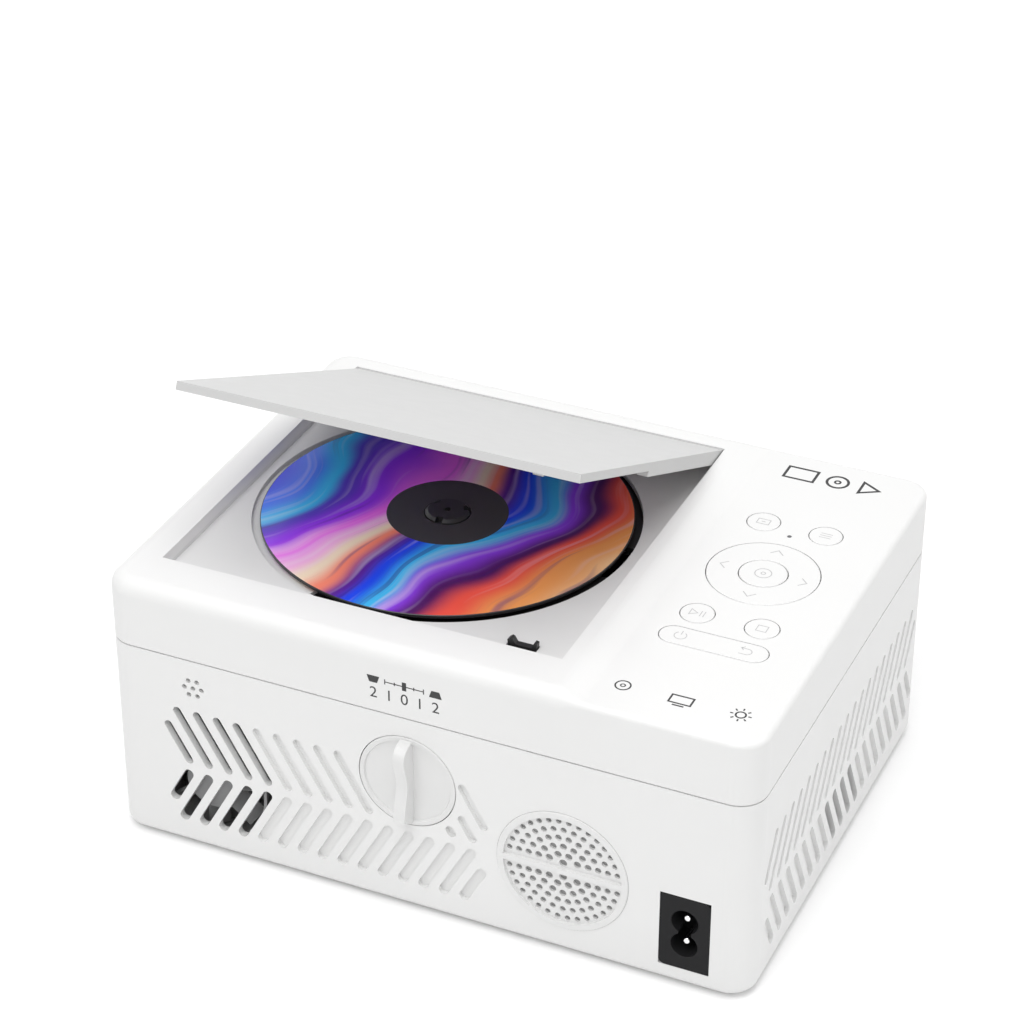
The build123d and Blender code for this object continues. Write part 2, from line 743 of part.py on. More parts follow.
with BuildPart() as laser_sled:
    with BuildSketch(Plane.XY.offset(rod_z - 3.0)):
        with Locations((disc_x + sled_x, disc_y)):
            RectangleRounded(sled_l, sled_w, 2.0)
        with Locations((disc_x + sled_x, disc_y + rod_y), (disc_x + sled_x, disc_y - rod_y)):
            Rectangle(sled_l, 8.4)
        with Locations((disc_x + sled_x, disc_y + sled_screw_y)):
            Rectangle(8.0, 8.0)
    extrude(amount=5.6)
    with BuildSketch(Plane.XY.offset(rod_z + 2.6)):
        with Locations((disc_x + sled_x, disc_y)):
            Circle(5.2)
    extrude(amount=1.3)
    with BuildSketch(Plane.XY.offset(rod_z + 3.9)):
        with Locations((disc_x + sled_x, disc_y)):
            Circle(2.6 + seat_gap)
    extrude(amount=-1.5, mode=Mode.SUBTRACT)
    with BuildSketch(Plane.YZ.offset(disc_x + sled_x - sled_l / 2)):
        with Locations((disc_y + rod_y, rod_z), (disc_y - rod_y, rod_z)):
            Circle(rod_r + run_fit)
        with Locations((disc_y + sled_screw_y, rod_z)):
            Circle(sled_screw_r + run_fit)
    extrude(amount=sled_l, mode=Mode.SUBTRACT)
finish(laser_sled.part, "laser_sled")

with BuildPart() as objective_lens:
    with BuildSketch(Plane.XY.offset(rod_z + 2.4)):
        with Locations((disc_x + sled_x, disc_y)):
            Circle(2.6)
    extrude(amount=2.4)
    fillet(objective_lens.edges().group_by(Axis.Z)[-1], radius=1.2)
finish(objective_lens.part, "objective_lens")

with BuildPart() as sled_motor:
    with BuildSketch(Plane.YZ.offset(disc_x - 12.0)):
        with Locations((disc_y + sled_screw_y, rod_z)):
            Circle(sled_motor_r)
    extrude(amount=22.0)
    with BuildSketch(Plane.YZ.offset(disc_x + 10.0)):
        with Locations((disc_y + sled_screw_y, rod_z)):
            Circle(sled_screw_r + run_fit)
    extrude(amount=-9.0, mode=Mode.SUBTRACT)
finish(sled_motor.part, "sled_motor")

with BuildPart() as sled_screw:
    with BuildSketch(Plane.YZ.offset(disc_x + 2.0)):
        with Locations((disc_y + sled_screw_y, rod_z)):
            Circle(sled_screw_r)
    extrude(amount=rod_x1 - 2.4)
finish(sled_screw.part, "sled_screw")

# ---------------------------------------------------------------- knob and keystone drive
knob_front = rear_y - 0.25
with BuildPart() as keystone_knob:
    with BuildSketch(at_y(knob_front)):
        with Locations((axis_x, axis_z)):
            Circle(knob_r)
    extrude(amount=-knob_t)
    fillet(keystone_knob.edges().sort_by(Axis.Y)[0], radius=0.5)
    with BuildSketch(at_y(knob_front)):
        with Locations((axis_x, axis_z)):
            Circle(bowl_r)
    extrude(amount=-bowl_deep, taper=30, mode=Mode.SUBTRACT)
    # Grip blade with a wavy outer edge, deepest near the top and at the foot.
    with BuildSketch(Plane.YZ.offset(axis_x - blade_t / 2)):
        with BuildLine():
            Polyline(
                (rear_y - blade_high, axis_z - 11.5),
                (rear_y - 0.4, axis_z - 14.9),
                (rear_y + bowl_deep + 0.6, axis_z - 12.5),
                (rear_y + bowl_deep + 0.6, axis_z + 13.0),
                (rear_y - 0.1, axis_z + 15.3),
            )
            Spline(
                (rear_y - 0.1, axis_z + 15.3),
                (rear_y - 5.9, axis_z + 11.9),
                (rear_y - 3.8, axis_z + 1.4),
                (rear_y - 5.3, axis_z - 6.4),
                (rear_y - blade_high, axis_z - 11.5),
            )
        make_face()
    extrude(amount=blade_t)
    with BuildSketch(at_y(knob_front + knob_t)):
        with Locations((axis_x, axis_z)):
            Circle(shaft_r)
    extrude(amount=-(bracket_y + bracket_t + 2.0 - knob_front - knob_t))
finish(keystone_knob.part, "keystone_knob")

tooth_h = 2.1 * gear_module
tooth_base = 2.0 * gear_module
tooth_flank = 70
with BuildPart() as knob_gear:
    with BuildSketch(at_y(gear_y)):
        with Locations((axis_x, axis_z)):
            Circle(gear_module * (knob_teeth / 2 - 1.2))
            with PolarLocations(gear_module * (knob_teeth / 2 - 1.25), knob_teeth, start_angle=-90):
                Trapezoid(tooth_base, tooth_h, tooth_flank, rotation=-90, align=(Align.CENTER, Align.MIN))
            Circle(shaft_r + seat_gap, mode=Mode.SUBTRACT)
    extrude(amount=-gear_t)
finish(knob_gear.part, "knob_gear")

half_tooth = 180.0 / screw_teeth
with BuildPart() as keystone_screw:
    with BuildSketch(at_y(gear_y)):
        with Locations((axis_x, screw_z)):
            Circle(gear_module * (screw_teeth / 2 - 1.2))
            with PolarLocations(
                gear_module * (screw_teeth / 2 - 1.25), screw_teeth, start_angle=90 + half_tooth
            ):
                Trapezoid(tooth_base, tooth_h, tooth_flank, rotation=-90, align=(Align.CENTER, Align.MIN))
    extrude(amount=-gear_t)
    with BuildSketch(at_y(gear_y - 2.0)):
        with Locations((axis_x, screw_z)):
            Circle(screw_r)
    extrude(amount=-(lcd_y + 16.0 - gear_y))
finish(keystone_screw.part, "keystone_screw")

with BuildPart() as gear_bracket:
    with BuildSketch(at_y(bracket_y)):
        with Locations((axis_x, floor_z)):
            Rectangle(26.0, axis_z + 9.0 - floor_z, align=(Align.CENTER, Align.MIN))
        with Locations((axis_x, axis_z)):
            Circle(shaft_r + run_fit, mode=Mode.SUBTRACT)
        with Locations((axis_x, screw_z)):
            Circle(screw_r + run_fit, mode=Mode.SUBTRACT)
    extrude(amount=-bracket_t)
    with BuildSketch(Plane.XY.offset(floor_z)):
        with Locations((axis_x, bracket_y + bracket_t)):
            Rectangle(26.0, 12.0, align=(Align.CENTER, Align.MIN))
    extrude(amount=bracket_t)
finish(gear_bracket.part, "gear_bracket")

with BuildPart() as keystone_nut:
    with BuildSketch(at_y(lcd_y - 4.0)):
        with Locations((axis_x, screw_z)):
            Rectangle(10.0, 10.0)
        with Locations((lever_x - 4.2, screw_z - 3.0)):
            Rectangle(6.0, 8.2, align=(Align.MIN, Align.MIN))
        with Locations((axis_x, screw_z)):
            Circle(screw_r + run_fit, mode=Mode.SUBTRACT)
    extrude(amount=-8.0)
    # Fork that straddles the lever pin.
    with BuildSketch(Plane.YZ.offset(axis_x + 5.0)):
        with Locations((lcd_y, screw_z - 1.0)):
            Rectangle(2 * (lever_pin_r + 0.08), 12.0, align=(Align.CENTER, Align.MIN))
    extrude(amount=8.0, mode=Mode.SUBTRACT)
finish(keystone_nut.part, "keystone_nut")

# ---------------------------------------------------------------- light path
with BuildPart() as lcd_frame:
    with BuildSketch(at_y(lcd_y - lcd_t / 2)):
        with Locations((axis_x, axis_z)):
            Rectangle(lcd_w, lcd_h)
            Rectangle(lcd_w - 12.0, lcd_h - 10.0, mode=Mode.SUBTRACT)
        with Locations((lever_x + 3.0, axis_z - lcd_h / 2 + 1.0)):
            Rectangle(3.0, axis_z - lcd_h / 2 + 1.0 - lever_z + 1.8, align=(Align.MIN, Align.MAX))
    extrude(amount=-lcd_t)
    with BuildSketch(Plane.YZ.offset(axis_x - lcd_w / 2 - 4.6)):
        with Locations((lcd_y, axis_z)):
            Circle(trunnion_r)
    extrude(amount=5.0)
    with BuildSketch(Plane.YZ.offset(axis_x + lcd_w / 2 + 4.6)):
        with Locations((lcd_y, axis_z)):
            Circle(trunnion_r)
    extrude(amount=-5.0)
    with BuildSketch(Plane.YZ.offset(axis_x + 5.4)):
        with Locations((lcd_y, lever_z)):
            Circle(lever_pin_r)
    extrude(amount=lever_x + 3.2 - axis_x - 5.4)
finish(lcd_frame.part, "lcd_frame")

with BuildPart() as lcd_panel:
    with BuildSketch(at_y(lcd_y - 1.0)):
        with Locations((axis_x, axis_z)):
            Rectangle(lcd_w - 12.2, lcd_h - 10.2)
    extrude(amount=-2.0)
finish(lcd_panel.part, "lcd_panel")

with BuildPart() as optic_tunnel:
    with BuildSketch(Plane.XY.offset(tunnel_z)):
        with Locations((axis_x, -46.0)):
            Rectangle(2 * tunnel_wall_x + 4.0, 78.0, align=(Align.CENTER, Align.MIN))
        with Locations((lever_x + 4.5, lcd_y)):
            Rectangle(6.0, 16.0, mode=Mode.SUBTRACT)
    extrude(amount=tunnel_t)
    with BuildSketch(Plane.XY.offset(tunnel_z + tunnel_t)):
        with Locations((axis_x - tunnel_wall_x, 3.0), (axis_x + tunnel_wall_x, 3.0)):
            Rectangle(2.0, 29.0, align=(Align.CENTER, Align.MIN))
    extrude(amount=46.0)
    with BuildSketch(Plane.YZ.offset(axis_x - tunnel_wall_x - 2.0)):
        with Locations((lcd_y, axis_z)):
            Circle(trunnion_r + run_fit)
    extrude(amount=2 * tunnel_wall_x + 4.0, mode=Mode.SUBTRACT)
    # Legs down to the case floor, and the far bearing of the keystone screw.
    with BuildSketch(Plane.XY.offset(floor_z)):
        with Locations((axis_x, -7.0)):
            with GridLocations(2 * tunnel_wall_x - 8.0, 68.0, 2, 2):
                Circle(3.0)
    extrude(amount=tunnel_z - floor_z)
    with BuildSketch(Plane.XY.offset(screw_z - 5.0)):
        with Locations((axis_x, lcd_y + 10.0)):
            Rectangle(10.0, 4.0, align=(Align.CENTER, Align.MIN))
    extrude(amount=tunnel_z - screw_z + 5.0)
    with BuildSketch(at_y(lcd_y + 9.0)):
        with Locations((axis_x, screw_z)):
            Circle(screw_r + run_fit)
    extrude(amount=-6.0, mode=Mode.SUBTRACT)
finish(optic_tunnel.part, "optic_tunnel")

mirror_plane = Plane(
    origin=(axis_x, mirror_y, tunnel_z + tunnel_t + mirror_h / 2),
    x_dir=(1, 1, 0),
    z_dir=(-1, 1, 0),
)
with BuildPart() as fold_mirror:
    with BuildSketch(mirror_plane):
        Rectangle(mirror_l, mirror_h)
    extrude(amount=-mirror_t)
finish(fold_mirror.part, "fold_mirror")

with BuildPart() as fresnel_lens:
    with BuildSketch(at_y(24.0)):
        with Locations((axis_x, axis_z)):
            Rectangle(2 * tunnel_wall_x - 2.4, 42.0)
    extrude(amount=-2.0)
    with BuildSketch(at_y(24.0)):
        with Locations((axis_x, axis_z)):
            for ring in range(1, 7):
                Circle(3.0 * ring + 0.5)
                Circle(3.0 * ring, mode=Mode.SUBTRACT)
    extrude(amount=-0.5, mode=Mode.SUBTRACT)
finish(fresnel_lens.part, "fresnel_lens")

condenser_r = 21.0
condenser_sag = 5.5
condenser_bow = (condenser_r**2 + condenser_sag**2) / (2 * condenser_sag)
condenser_turn = degrees(asin(condenser_r / condenser_bow))
with BuildPart() as condenser_lens:
    with BuildSketch(Plane.XY.offset(axis_z)):
        with BuildLine():
            Polyline(
                (-40.0, mirror_y),
                (-48.0, mirror_y),
                (-48.0, mirror_y + condenser_r),
                (-40.0 - condenser_sag, mirror_y + condenser_r),
            )
            CenterArc((-40.0 - condenser_bow, mirror_y), condenser_bow, 0, condenser_turn)
        make_face()
    revolve(axis=Axis((0, mirror_y, axis_z), (1, 0, 0)))
finish(condenser_lens.part, "condenser_lens")

with BuildPart() as reflector_cone:
    with BuildSketch(Plane.XY.offset(axis_z)):
        with BuildLine():
            Polyline(
                (-78.4, mirror_y + 8.0),
                (-78.4, mirror_y + 9.4),
                (-51.0, mirror_y + 22.4),
                (-43.6, mirror_y + 22.4),
                (-43.6, mirror_y + 21.3),
                (-50.4, mirror_y + 21.3),
                close=True,
            )
        make_face()
    revolve(axis=Axis((0, mirror_y, axis_z), (1, 0, 0)))
finish(reflector_cone.part, "reflector_cone")

with BuildPart() as led_board:
    with BuildSketch(Plane.YZ.offset(-80.0)):
        with Locations((mirror_y, axis_z)):
            RectangleRounded(26.0, 26.0, 2.0)
    extrude(amount=1.6)
    with BuildSketch(Plane.YZ.offset(-78.4)):
        with Locations((mirror_y, axis_z)):
            Circle(5.5)
    extrude(amount=1.2)
finish(led_board.part, "led_board")

with BuildPart() as lamp_heatsink:
    with BuildSketch(Plane.YZ.offset(-84.0)):
        with Locations((mirror_y, axis_z)):
            Rectangle(36.0, 44.0)
    extrude(amount=4.0)
    with BuildSketch(Plane.YZ.offset(-84.0)):
        with Locations((mirror_y, axis_z)):
            with GridLocations(1.0, 4.6, 1, 10):
                Rectangle(36.0, 1.6)
    extrude(amount=-16.0)
    with BuildSketch(Plane.XY.offset(floor_z)):
        with Locations((-82.0, mirror_y)):
            Rectangle(4.0, 24.0)
    extrude(amount=axis_z - 22.0 - floor_z)
finish(lamp_heatsink.part, "lamp_heatsink")

with BuildPart() as lens_holder:
    with BuildSketch(at_y(32.5)):
        with Locations((axis_x, axis_z)):
            RectangleRounded(2 * tunnel_wall_x + 4.0, 52.0, 3.0)
            Circle(20.0, mode=Mode.SUBTRACT)
    extrude(amount=-2.5)
    with BuildSketch(at_y(35.0)):
        with Locations((axis_x, axis_z)):
            Circle(26.4)
            Circle(lens_r + run_fit, mode=Mode.SUBTRACT)
    extrude(amount=-34.0)
    with BuildSketch(Plane.XY.offset(floor_z)):
        with Locations((axis_x, 32.5)):
            Rectangle(30.0, 2.5, align=(Align.CENTER, Align.MIN))
    extrude(amount=axis_z - 26.0 - floor_z)
finish(lens_holder.part, "lens_holder")

with BuildPart() as lens_barrel:
    with BuildSketch(Plane.XY.offset(axis_z)):
        with BuildLine():
            Polyline(
                (axis_x + lens_bore_r, 42.0),
                (axis_x + lens_r, 42.0),
                (axis_x + lens_r, 81.4),
                (axis_x + lens_bore_r, 81.4),
                (axis_x + lens_bore_r, 72.0),
                (axis_x + lens_bore_r - 1.6, 72.0),
                (axis_x + lens_bore_r - 1.6, 51.0),
                (axis_x + lens_bore_r, 51.0),
                close=True,
            )
        make_face()
    revolve(axis=Axis((axis_x, 0, axis_z), (0, 1, 0)))
finish(lens_barrel.part, "lens_barrel")

glass_r = lens_bore_r - seat_gap
front_sag = 4.6
front_bow = (glass_r**2 + front_sag**2) / (2 * front_sag)
front_turn = degrees(asin(glass_r / front_bow))
rear_sag = 3.4
rear_bow = (glass_r**2 + rear_sag**2) / (2 * rear_sag)
rear_turn = degrees(asin(glass_r / rear_bow))
with BuildPart() as lens_glass:
    with BuildSketch(Plane.XY.offset(axis_z)):
        with BuildLine():
            Polyline(
                (axis_x, 79.8),
                (axis_x, 72.1),
                (axis_x + glass_r, 72.1),
                (axis_x + glass_r, 79.8 - front_sag),
            )
            CenterArc((axis_x, 79.8 - front_bow), front_bow, 90 - front_turn, front_turn)
        make_face()
        with BuildLine():
            Polyline(
                (axis_x, 44.6),
                (axis_x, 50.9),
                (axis_x + glass_r, 50.9),
                (axis_x + glass_r, 44.6 + rear_sag),
            )
            CenterArc((axis_x, 44.6 + rear_bow), rear_bow, -90, rear_turn)
        make_face()
    revolve(axis=Axis((axis_x, 0, axis_z), (0, 1, 0)))
finish(lens_glass.part, "lens_glass")

focus_front = front_y + blade_high
with BuildPart() as focus_ring:
    with BuildSketch(Plane.XY.offset(axis_z)):
        with BuildLine():
            Polyline(
                (axis_x + lens_r + run_fit, 70.0),
                (axis_x + focus_r + 2.4, 70.0),
                (axis_x + focus_r + 2.4, 73.0),
                (axis_x + focus_r, 73.0),
                (axis_x + focus_r, focus_front - 0.8),
                (axis_x + focus_r - 0.8, focus_front),
                (axis_x + lens_r + 1.6, focus_front),
                (axis_x + lens_r + run_fit, focus_front - 1.6),
                close=True,
            )
        make_face()
    revolve(axis=Axis((axis_x, 0, axis_z), (0, 1, 0)))
    # Finger flutes round the part that stands out of the case.
    with BuildSketch(at_y(focus_front)):
        with Locations((axis_x, axis_z)):
            with PolarLocations(focus_r + 0.5, 36):
                Circle(1.1)
    extrude(amount=-3.2, mode=Mode.SUBTRACT)
finish(focus_ring.part, "focus_ring")

# ---------------------------------------------------------------- fans
fan_size = 40.0
fan_t = 10.0
fan_bore = 19.0
fan_blades = 7
blade_l = 10.2
blade_mid = 12.9
blade_thick = 1.2
blade_chord = 7.0
blade_pitch = 38
lamp_fan_x = port_x + 33.0
lamp_fan_y = rear_y + wall + 1.1
lamp_fan_z = floor_z + fan_size / 2
out_fan_x = vent_x - wall - 1.0 - fan_t
out_fan_y = 1.0
out_fan_z = floor_z + fan_size / 2

with BuildPart() as lamp_fan_frame:
    with BuildSketch(at_y(lamp_fan_y)):
        with Locations((lamp_fan_x, lamp_fan_z)):
            RectangleRounded(fan_size, fan_size, 3.0)
            Circle(fan_bore, mode=Mode.SUBTRACT)
            with GridLocations(32.0, 32.0, 2, 2):
                Circle(1.7, mode=Mode.SUBTRACT)
    extrude(amount=-fan_t)
    with BuildSketch(at_y(lamp_fan_y + fan_t)):
        with Locations((lamp_fan_x, lamp_fan_z)):
            Circle(9.0)
            Rectangle(2 * fan_bore + 0.4, 2.0)
            Rectangle(2.0, 2 * fan_bore + 0.4)
    extrude(amount=1.5)
    with BuildSketch(at_y(lamp_fan_y + fan_t)):
        with Locations((lamp_fan_x, lamp_fan_z)):
            Circle(1.0 + run_fit)
    extrude(amount=1.5, mode=Mode.SUBTRACT)
finish(lamp_fan_frame.part, "lamp_fan_frame")

with BuildPart() as lamp_fan_rotor:
    with BuildSketch(at_y(lamp_fan_y + 1.0)):
        with Locations((lamp_fan_x, lamp_fan_z)):
            Circle(9.0)
    extrude(amount=-6.8)
    with Locations(Plane(origin=(lamp_fan_x, lamp_fan_y + 4.4, lamp_fan_z), z_dir=(0, -1, 0))):
        with PolarLocations(blade_mid, fan_blades):
            Box(blade_l, blade_thick, blade_chord, rotation=(blade_pitch, 0, 0))
    with BuildSketch(at_y(lamp_fan_y + 7.8)):
        with Locations((lamp_fan_x, lamp_fan_z)):
            Circle(1.0)
    extrude(amount=-2.0)
finish(lamp_fan_rotor.part, "lamp_fan_rotor")

with BuildPart() as out_fan_frame:
    with BuildSketch(Plane.YZ.offset(out_fan_x)):
        with Locations((out_fan_y, out_fan_z)):
            RectangleRounded(fan_size, fan_size, 3.0)
            Circle(fan_bore, mode=Mode.SUBTRACT)
            with GridLocations(32.0, 32.0, 2, 2):
                Circle(1.7, mode=Mode.SUBTRACT)
    extrude(amount=fan_t)
    with BuildSketch(Plane.YZ.offset(out_fan_x)):
        with Locations((out_fan_y, out_fan_z)):
            Circle(9.0)
            Rectangle(2 * fan_bore + 0.4, 2.0)
            Rectangle(2.0, 2 * fan_bore + 0.4)
    extrude(amount=1.5)
    with BuildSketch(Plane.YZ.offset(out_fan_x)):
        with Locations((out_fan_y, out_fan_z)):
            Circle(1.0 + run_fit)
    extrude(amount=1.5, mode=Mode.SUBTRACT)
finish(out_fan_frame.part, "out_fan_frame")

with BuildPart() as out_fan_rotor:
    with BuildSketch(Plane.YZ.offset(out_fan_x + 2.2)):
        with Locations((out_fan_y, out_fan_z)):
            Circle(9.0)
    extrude(amount=6.8)
    with Locations(Plane(origin=(out_fan_x + 5.6, out_fan_y, out_fan_z), z_dir=(1, 0, 0))):
        with PolarLocations(blade_mid, fan_blades):
            Box(blade_l, blade_thick, blade_chord, rotation=(blade_pitch, 0, 0))
    with BuildSketch(Plane.YZ.offset(out_fan_x + 2.2)):
        with Locations((out_fan_y, out_fan_z)):
            Circle(1.0)
    extrude(amount=-2.0)
finish(out_fan_rotor.part, "out_fan_rotor")

# ---------------------------------------------------------------- speaker
with BuildPart() as speaker_grille:
    with BuildSketch(at_y(rear_y - speaker_proud)):
        with Locations((speaker_x, speaker_z)):
            Circle(speaker_ring_r)
    extrude(amount=-speaker_proud)
    fillet(speaker_grille.edges().sort_by(Axis.Y)[0], radius=0.3)
    with BuildSketch(at_y(rear_y)):
        with Locations((speaker_x, speaker_z)):
            Circle(speaker_plug_r)
    extrude(amount=-wall)
    # Two shallow half-round faces either side of a crossbar.
    with BuildSketch(at_y(rear_y - speaker_proud)):
        with Locations((speaker_x, speaker_z)):
            Circle(speaker_face_r)
            Rectangle(2 * speaker_ring_r, speaker_bar, mode=Mode.SUBTRACT)
    extrude(amount=-(speaker_proud + speaker_deep), mode=Mode.SUBTRACT)
    with BuildSketch(at_y(rear_y + wall)):
        with Locations((speaker_x, speaker_z)):
            Circle(speaker_face_r)
    extrude(amount=0.8, mode=Mode.SUBTRACT)
    # Rings of holes, fewer and larger towards the middle.
    with BuildSketch(at_y(rear_y)):
        for ring in range(6):
            ring_r = 2.6 + 3.07 * ring
            count = 3 * ring + 1
            first = 90.0
            if ring > 0:
                first = degrees(asin(3.35 / ring_r))
            for index in range(count):
                angle = first
                if count > 1:
                    angle = first + (180.0 - 2 * first) * index / (count - 1)
                spot_x = ring_r * cos(radians(angle))
                spot_z = ring_r * sin(radians(angle))
                with Locations(
                    (speaker_x + spot_x, speaker_z + spot_z),
                    (speaker_x + spot_x, speaker_z - spot_z),
                ):
                    Circle(speaker_hole_r - 0.07 * ring)
    extrude(amount=-wall, mode=Mode.SUBTRACT)
finish(speaker_grille.part, "speaker_grille")

speaker_back = rear_y + wall + 0.2
with BuildPart() as speaker_frame:
    with BuildSketch(at_y(speaker_back)):
        with Locations((speaker_x, speaker_z)):
            Circle(21.0)
            Circle(18.2, mode=Mode.SUBTRACT)
    extrude(amount=-2.0)
    with BuildSketch(at_y(speaker_back + 2.0)):
        with Locations((speaker_x, speaker_z)):
            Circle(19.6)
            Circle(18.2, mode=Mode.SUBTRACT)
    extrude(amount=-5.0)
    with BuildSketch(at_y(speaker_back + 7.0)):
        with Locations((speaker_x, speaker_z)):
            Circle(19.6)
    extrude(amount=-1.6)
    with BuildSketch(at_y(speaker_back + 8.6)):
        with Locations((speaker_x, speaker_z)):
            Circle(12.0)
    extrude(amount=-7.0)
finish(speaker_frame.part, "speaker_frame")

with BuildPart() as speaker_cone:
    with BuildSketch(Plane.YZ.offset(speaker_x)):
        with BuildLine():
            Polyline(
                (speaker_back + 6.6, speaker_z),
                (speaker_back + 6.6, speaker_z + 6.0),
                (speaker_back + 1.6, speaker_z + 17.8),
                (speaker_back + 1.0, speaker_z + 17.8),
                (speaker_back + 5.4, speaker_z + 5.6),
                (speaker_back + 5.4, speaker_z),
                close=True,
            )
        make_face()
    revolve(axis=Axis((speaker_x, 0, speaker_z), (0, 1, 0)))
finish(speaker_cone.part, "speaker_cone")

# ---------------------------------------------------------------- power and signal
inlet_deep = 11.0
with BuildPart() as mains_inlet:
    with BuildSketch(rear_face):
        with Locations((inlet_x, inlet_z)):
            Rectangle(inlet_w, inlet_h)
    extrude(amount=-16.0)
    upright = mains_inlet.edges().filter_by(Axis.Y)
    fillet(upright.sort_by(lambda edge: edge.center().X + edge.center().Z)[-1], radius=2.4)
    upright = mains_inlet.edges().filter_by(Axis.Y)
    fillet(upright.sort_by(lambda edge: edge.center().X + edge.center().Z)[0], radius=2.0)
    # Figure-of-eight recess with a nip at the waist.
    with BuildSketch(rear_face):
        with Locations((inlet_x, inlet_z + inlet_pin_gap / 2), (inlet_x, inlet_z - inlet_pin_gap / 2)):
            Circle(lobe_r)
        with Locations((inlet_x, inlet_z)):
            Rectangle(4.2, inlet_pin_gap)
    extrude(amount=-inlet_deep, mode=Mode.SUBTRACT)
finish(mains_inlet.part, "mains_inlet")

with BuildPart() as inlet_pins:
    with BuildSketch(at_y(rear_y + 1.8)):
        with Locations((inlet_x, inlet_z + inlet_pin_gap / 2), (inlet_x, inlet_z - inlet_pin_gap / 2)):
            Circle(1.2)
    extrude(amount=-(inlet_deep - 1.8))
    fillet(inlet_pins.edges().group_by(Axis.Y)[0], radius=0.7)
finish(inlet_pins.part, "inlet_pins")

with BuildPart() as ir_receiver:
    with BuildSketch(at_y(rear_y + wall + 0.6)):
        with Locations((ir_x, ir_z)):
            RectangleRounded(8.6, 8.6, 0.8)
    extrude(amount=-3.6)
    with BuildSketch(at_y(rear_y + wall + 0.6)):
        with Locations((ir_x, ir_z)):
            Circle(2.6)
    extrude(amount=-0.6, mode=Mode.SUBTRACT)
finish(ir_receiver.part, "ir_receiver")

with BuildPart() as power_board:
    with BuildSketch(Plane.XY.offset(10.0)):
        with Locations((vent_x - 32.0, -40.0)):
            RectangleRounded(52.0, 34.0, 1.5)
    extrude(amount=board_t)
    with BuildSketch(Plane.XY.offset(10.0 + board_t)):
        with Locations((vent_x - 46.0, -48.0), (vent_x - 46.0, -36.0)):
            Circle(4.5)
    extrude(amount=16.0)
    with BuildSketch(Plane.XY.offset(10.0 + board_t)):
        with Locations((vent_x - 14.0, -34.0)):
            Rectangle(6.0, 14.0)
    extrude(amount=10.0)
    with BuildSketch(Plane.XY.offset(floor_z)):
        with Locations((vent_x - 32.0, -40.0)):
            with GridLocations(46.0, 28.0, 2, 2):
                Circle(2.2)
    extrude(amount=10.0 - floor_z)
    # Transformer.
    with BuildSketch(Plane.XY.offset(10.0 + board_t)):
        with Locations((vent_x - 29.0, -40.0)):
            RectangleRounded(19.0, 22.0, 1.0)
    extrude(amount=18.0)
finish(power_board.part, "power_board")

main_board_z = socket_z - 3.1 - board_t
with BuildPart() as main_board:
    with BuildSketch(Plane.XY.offset(main_board_z)):
        with Locations((port_x + 32.0, 42.0)):
            RectangleRounded(56.0, 62.0, 1.5)
        with Locations(boss_spots[1]):
            Circle(boss_r + 0.6, mode=Mode.SUBTRACT)
    extrude(amount=board_t)
    with BuildSketch(Plane.XY.offset(main_board_z + board_t)):
        with Locations((port_x + 36.0, 44.0)):
            Rectangle(16.0, 16.0)
        with Locations((port_x + 36.0, 24.0), (port_x + 50.0, 24.0)):
            Rectangle(9.0, 11.0)
    extrude(amount=2.0)
    with BuildSketch(Plane.XY.offset(main_board_z + board_t)):
        with Locations((port_x + 52.0, 62.0), (port_x + 42.0, 64.0)):
            Circle(3.2)
    extrude(amount=9.0)
    with BuildSketch(Plane.XY.offset(floor_z)):
        with Locations((port_x + 32.0, 42.0)):
            with GridLocations(50.0, 54.0, 2, 2):
                Circle(2.2)
    extrude(amount=main_board_z - floor_z)
finish(main_board.part, "main_board")

socket_face = Plane.YZ.offset(port_x + 0.6)
with BuildPart() as signal_sockets:
    with BuildSketch(socket_face):
        with Locations((video_y, socket_z)):
            Rectangle(15.0, 5.8)
            Rectangle(13.8, 4.6, mode=Mode.SUBTRACT)
        with Locations((data_y, socket_z + 0.6)):
            Rectangle(13.2, 7.0)
            Rectangle(11.8, 5.4, mode=Mode.SUBTRACT)
        for jack_y in jack_ys:
            with Locations((jack_y, socket_z)):
                Circle(3.0)
                Circle(1.8, mode=Mode.SUBTRACT)
    extrude(amount=12.0)
    with BuildSketch(socket_face.offset(11.0)):
        with Locations((video_y, socket_z)):
            Rectangle(15.0, 5.8)
        with Locations((data_y, socket_z + 0.6)):
            Rectangle(13.2, 7.0)
        for jack_y in jack_ys:
            with Locations((jack_y, socket_z)):
                Circle(3.0)
    extrude(amount=1.0)
    with BuildSketch(socket_face.offset(5.0)):
        with Locations((video_y, socket_z - 0.3)):
            Rectangle(9.8, 1.2)
        with Locations((data_y, socket_z + 1.9)):
            Rectangle(9.8, 1.6)
    extrude(amount=6.4)
finish(signal_sockets.part, "signal_sockets")

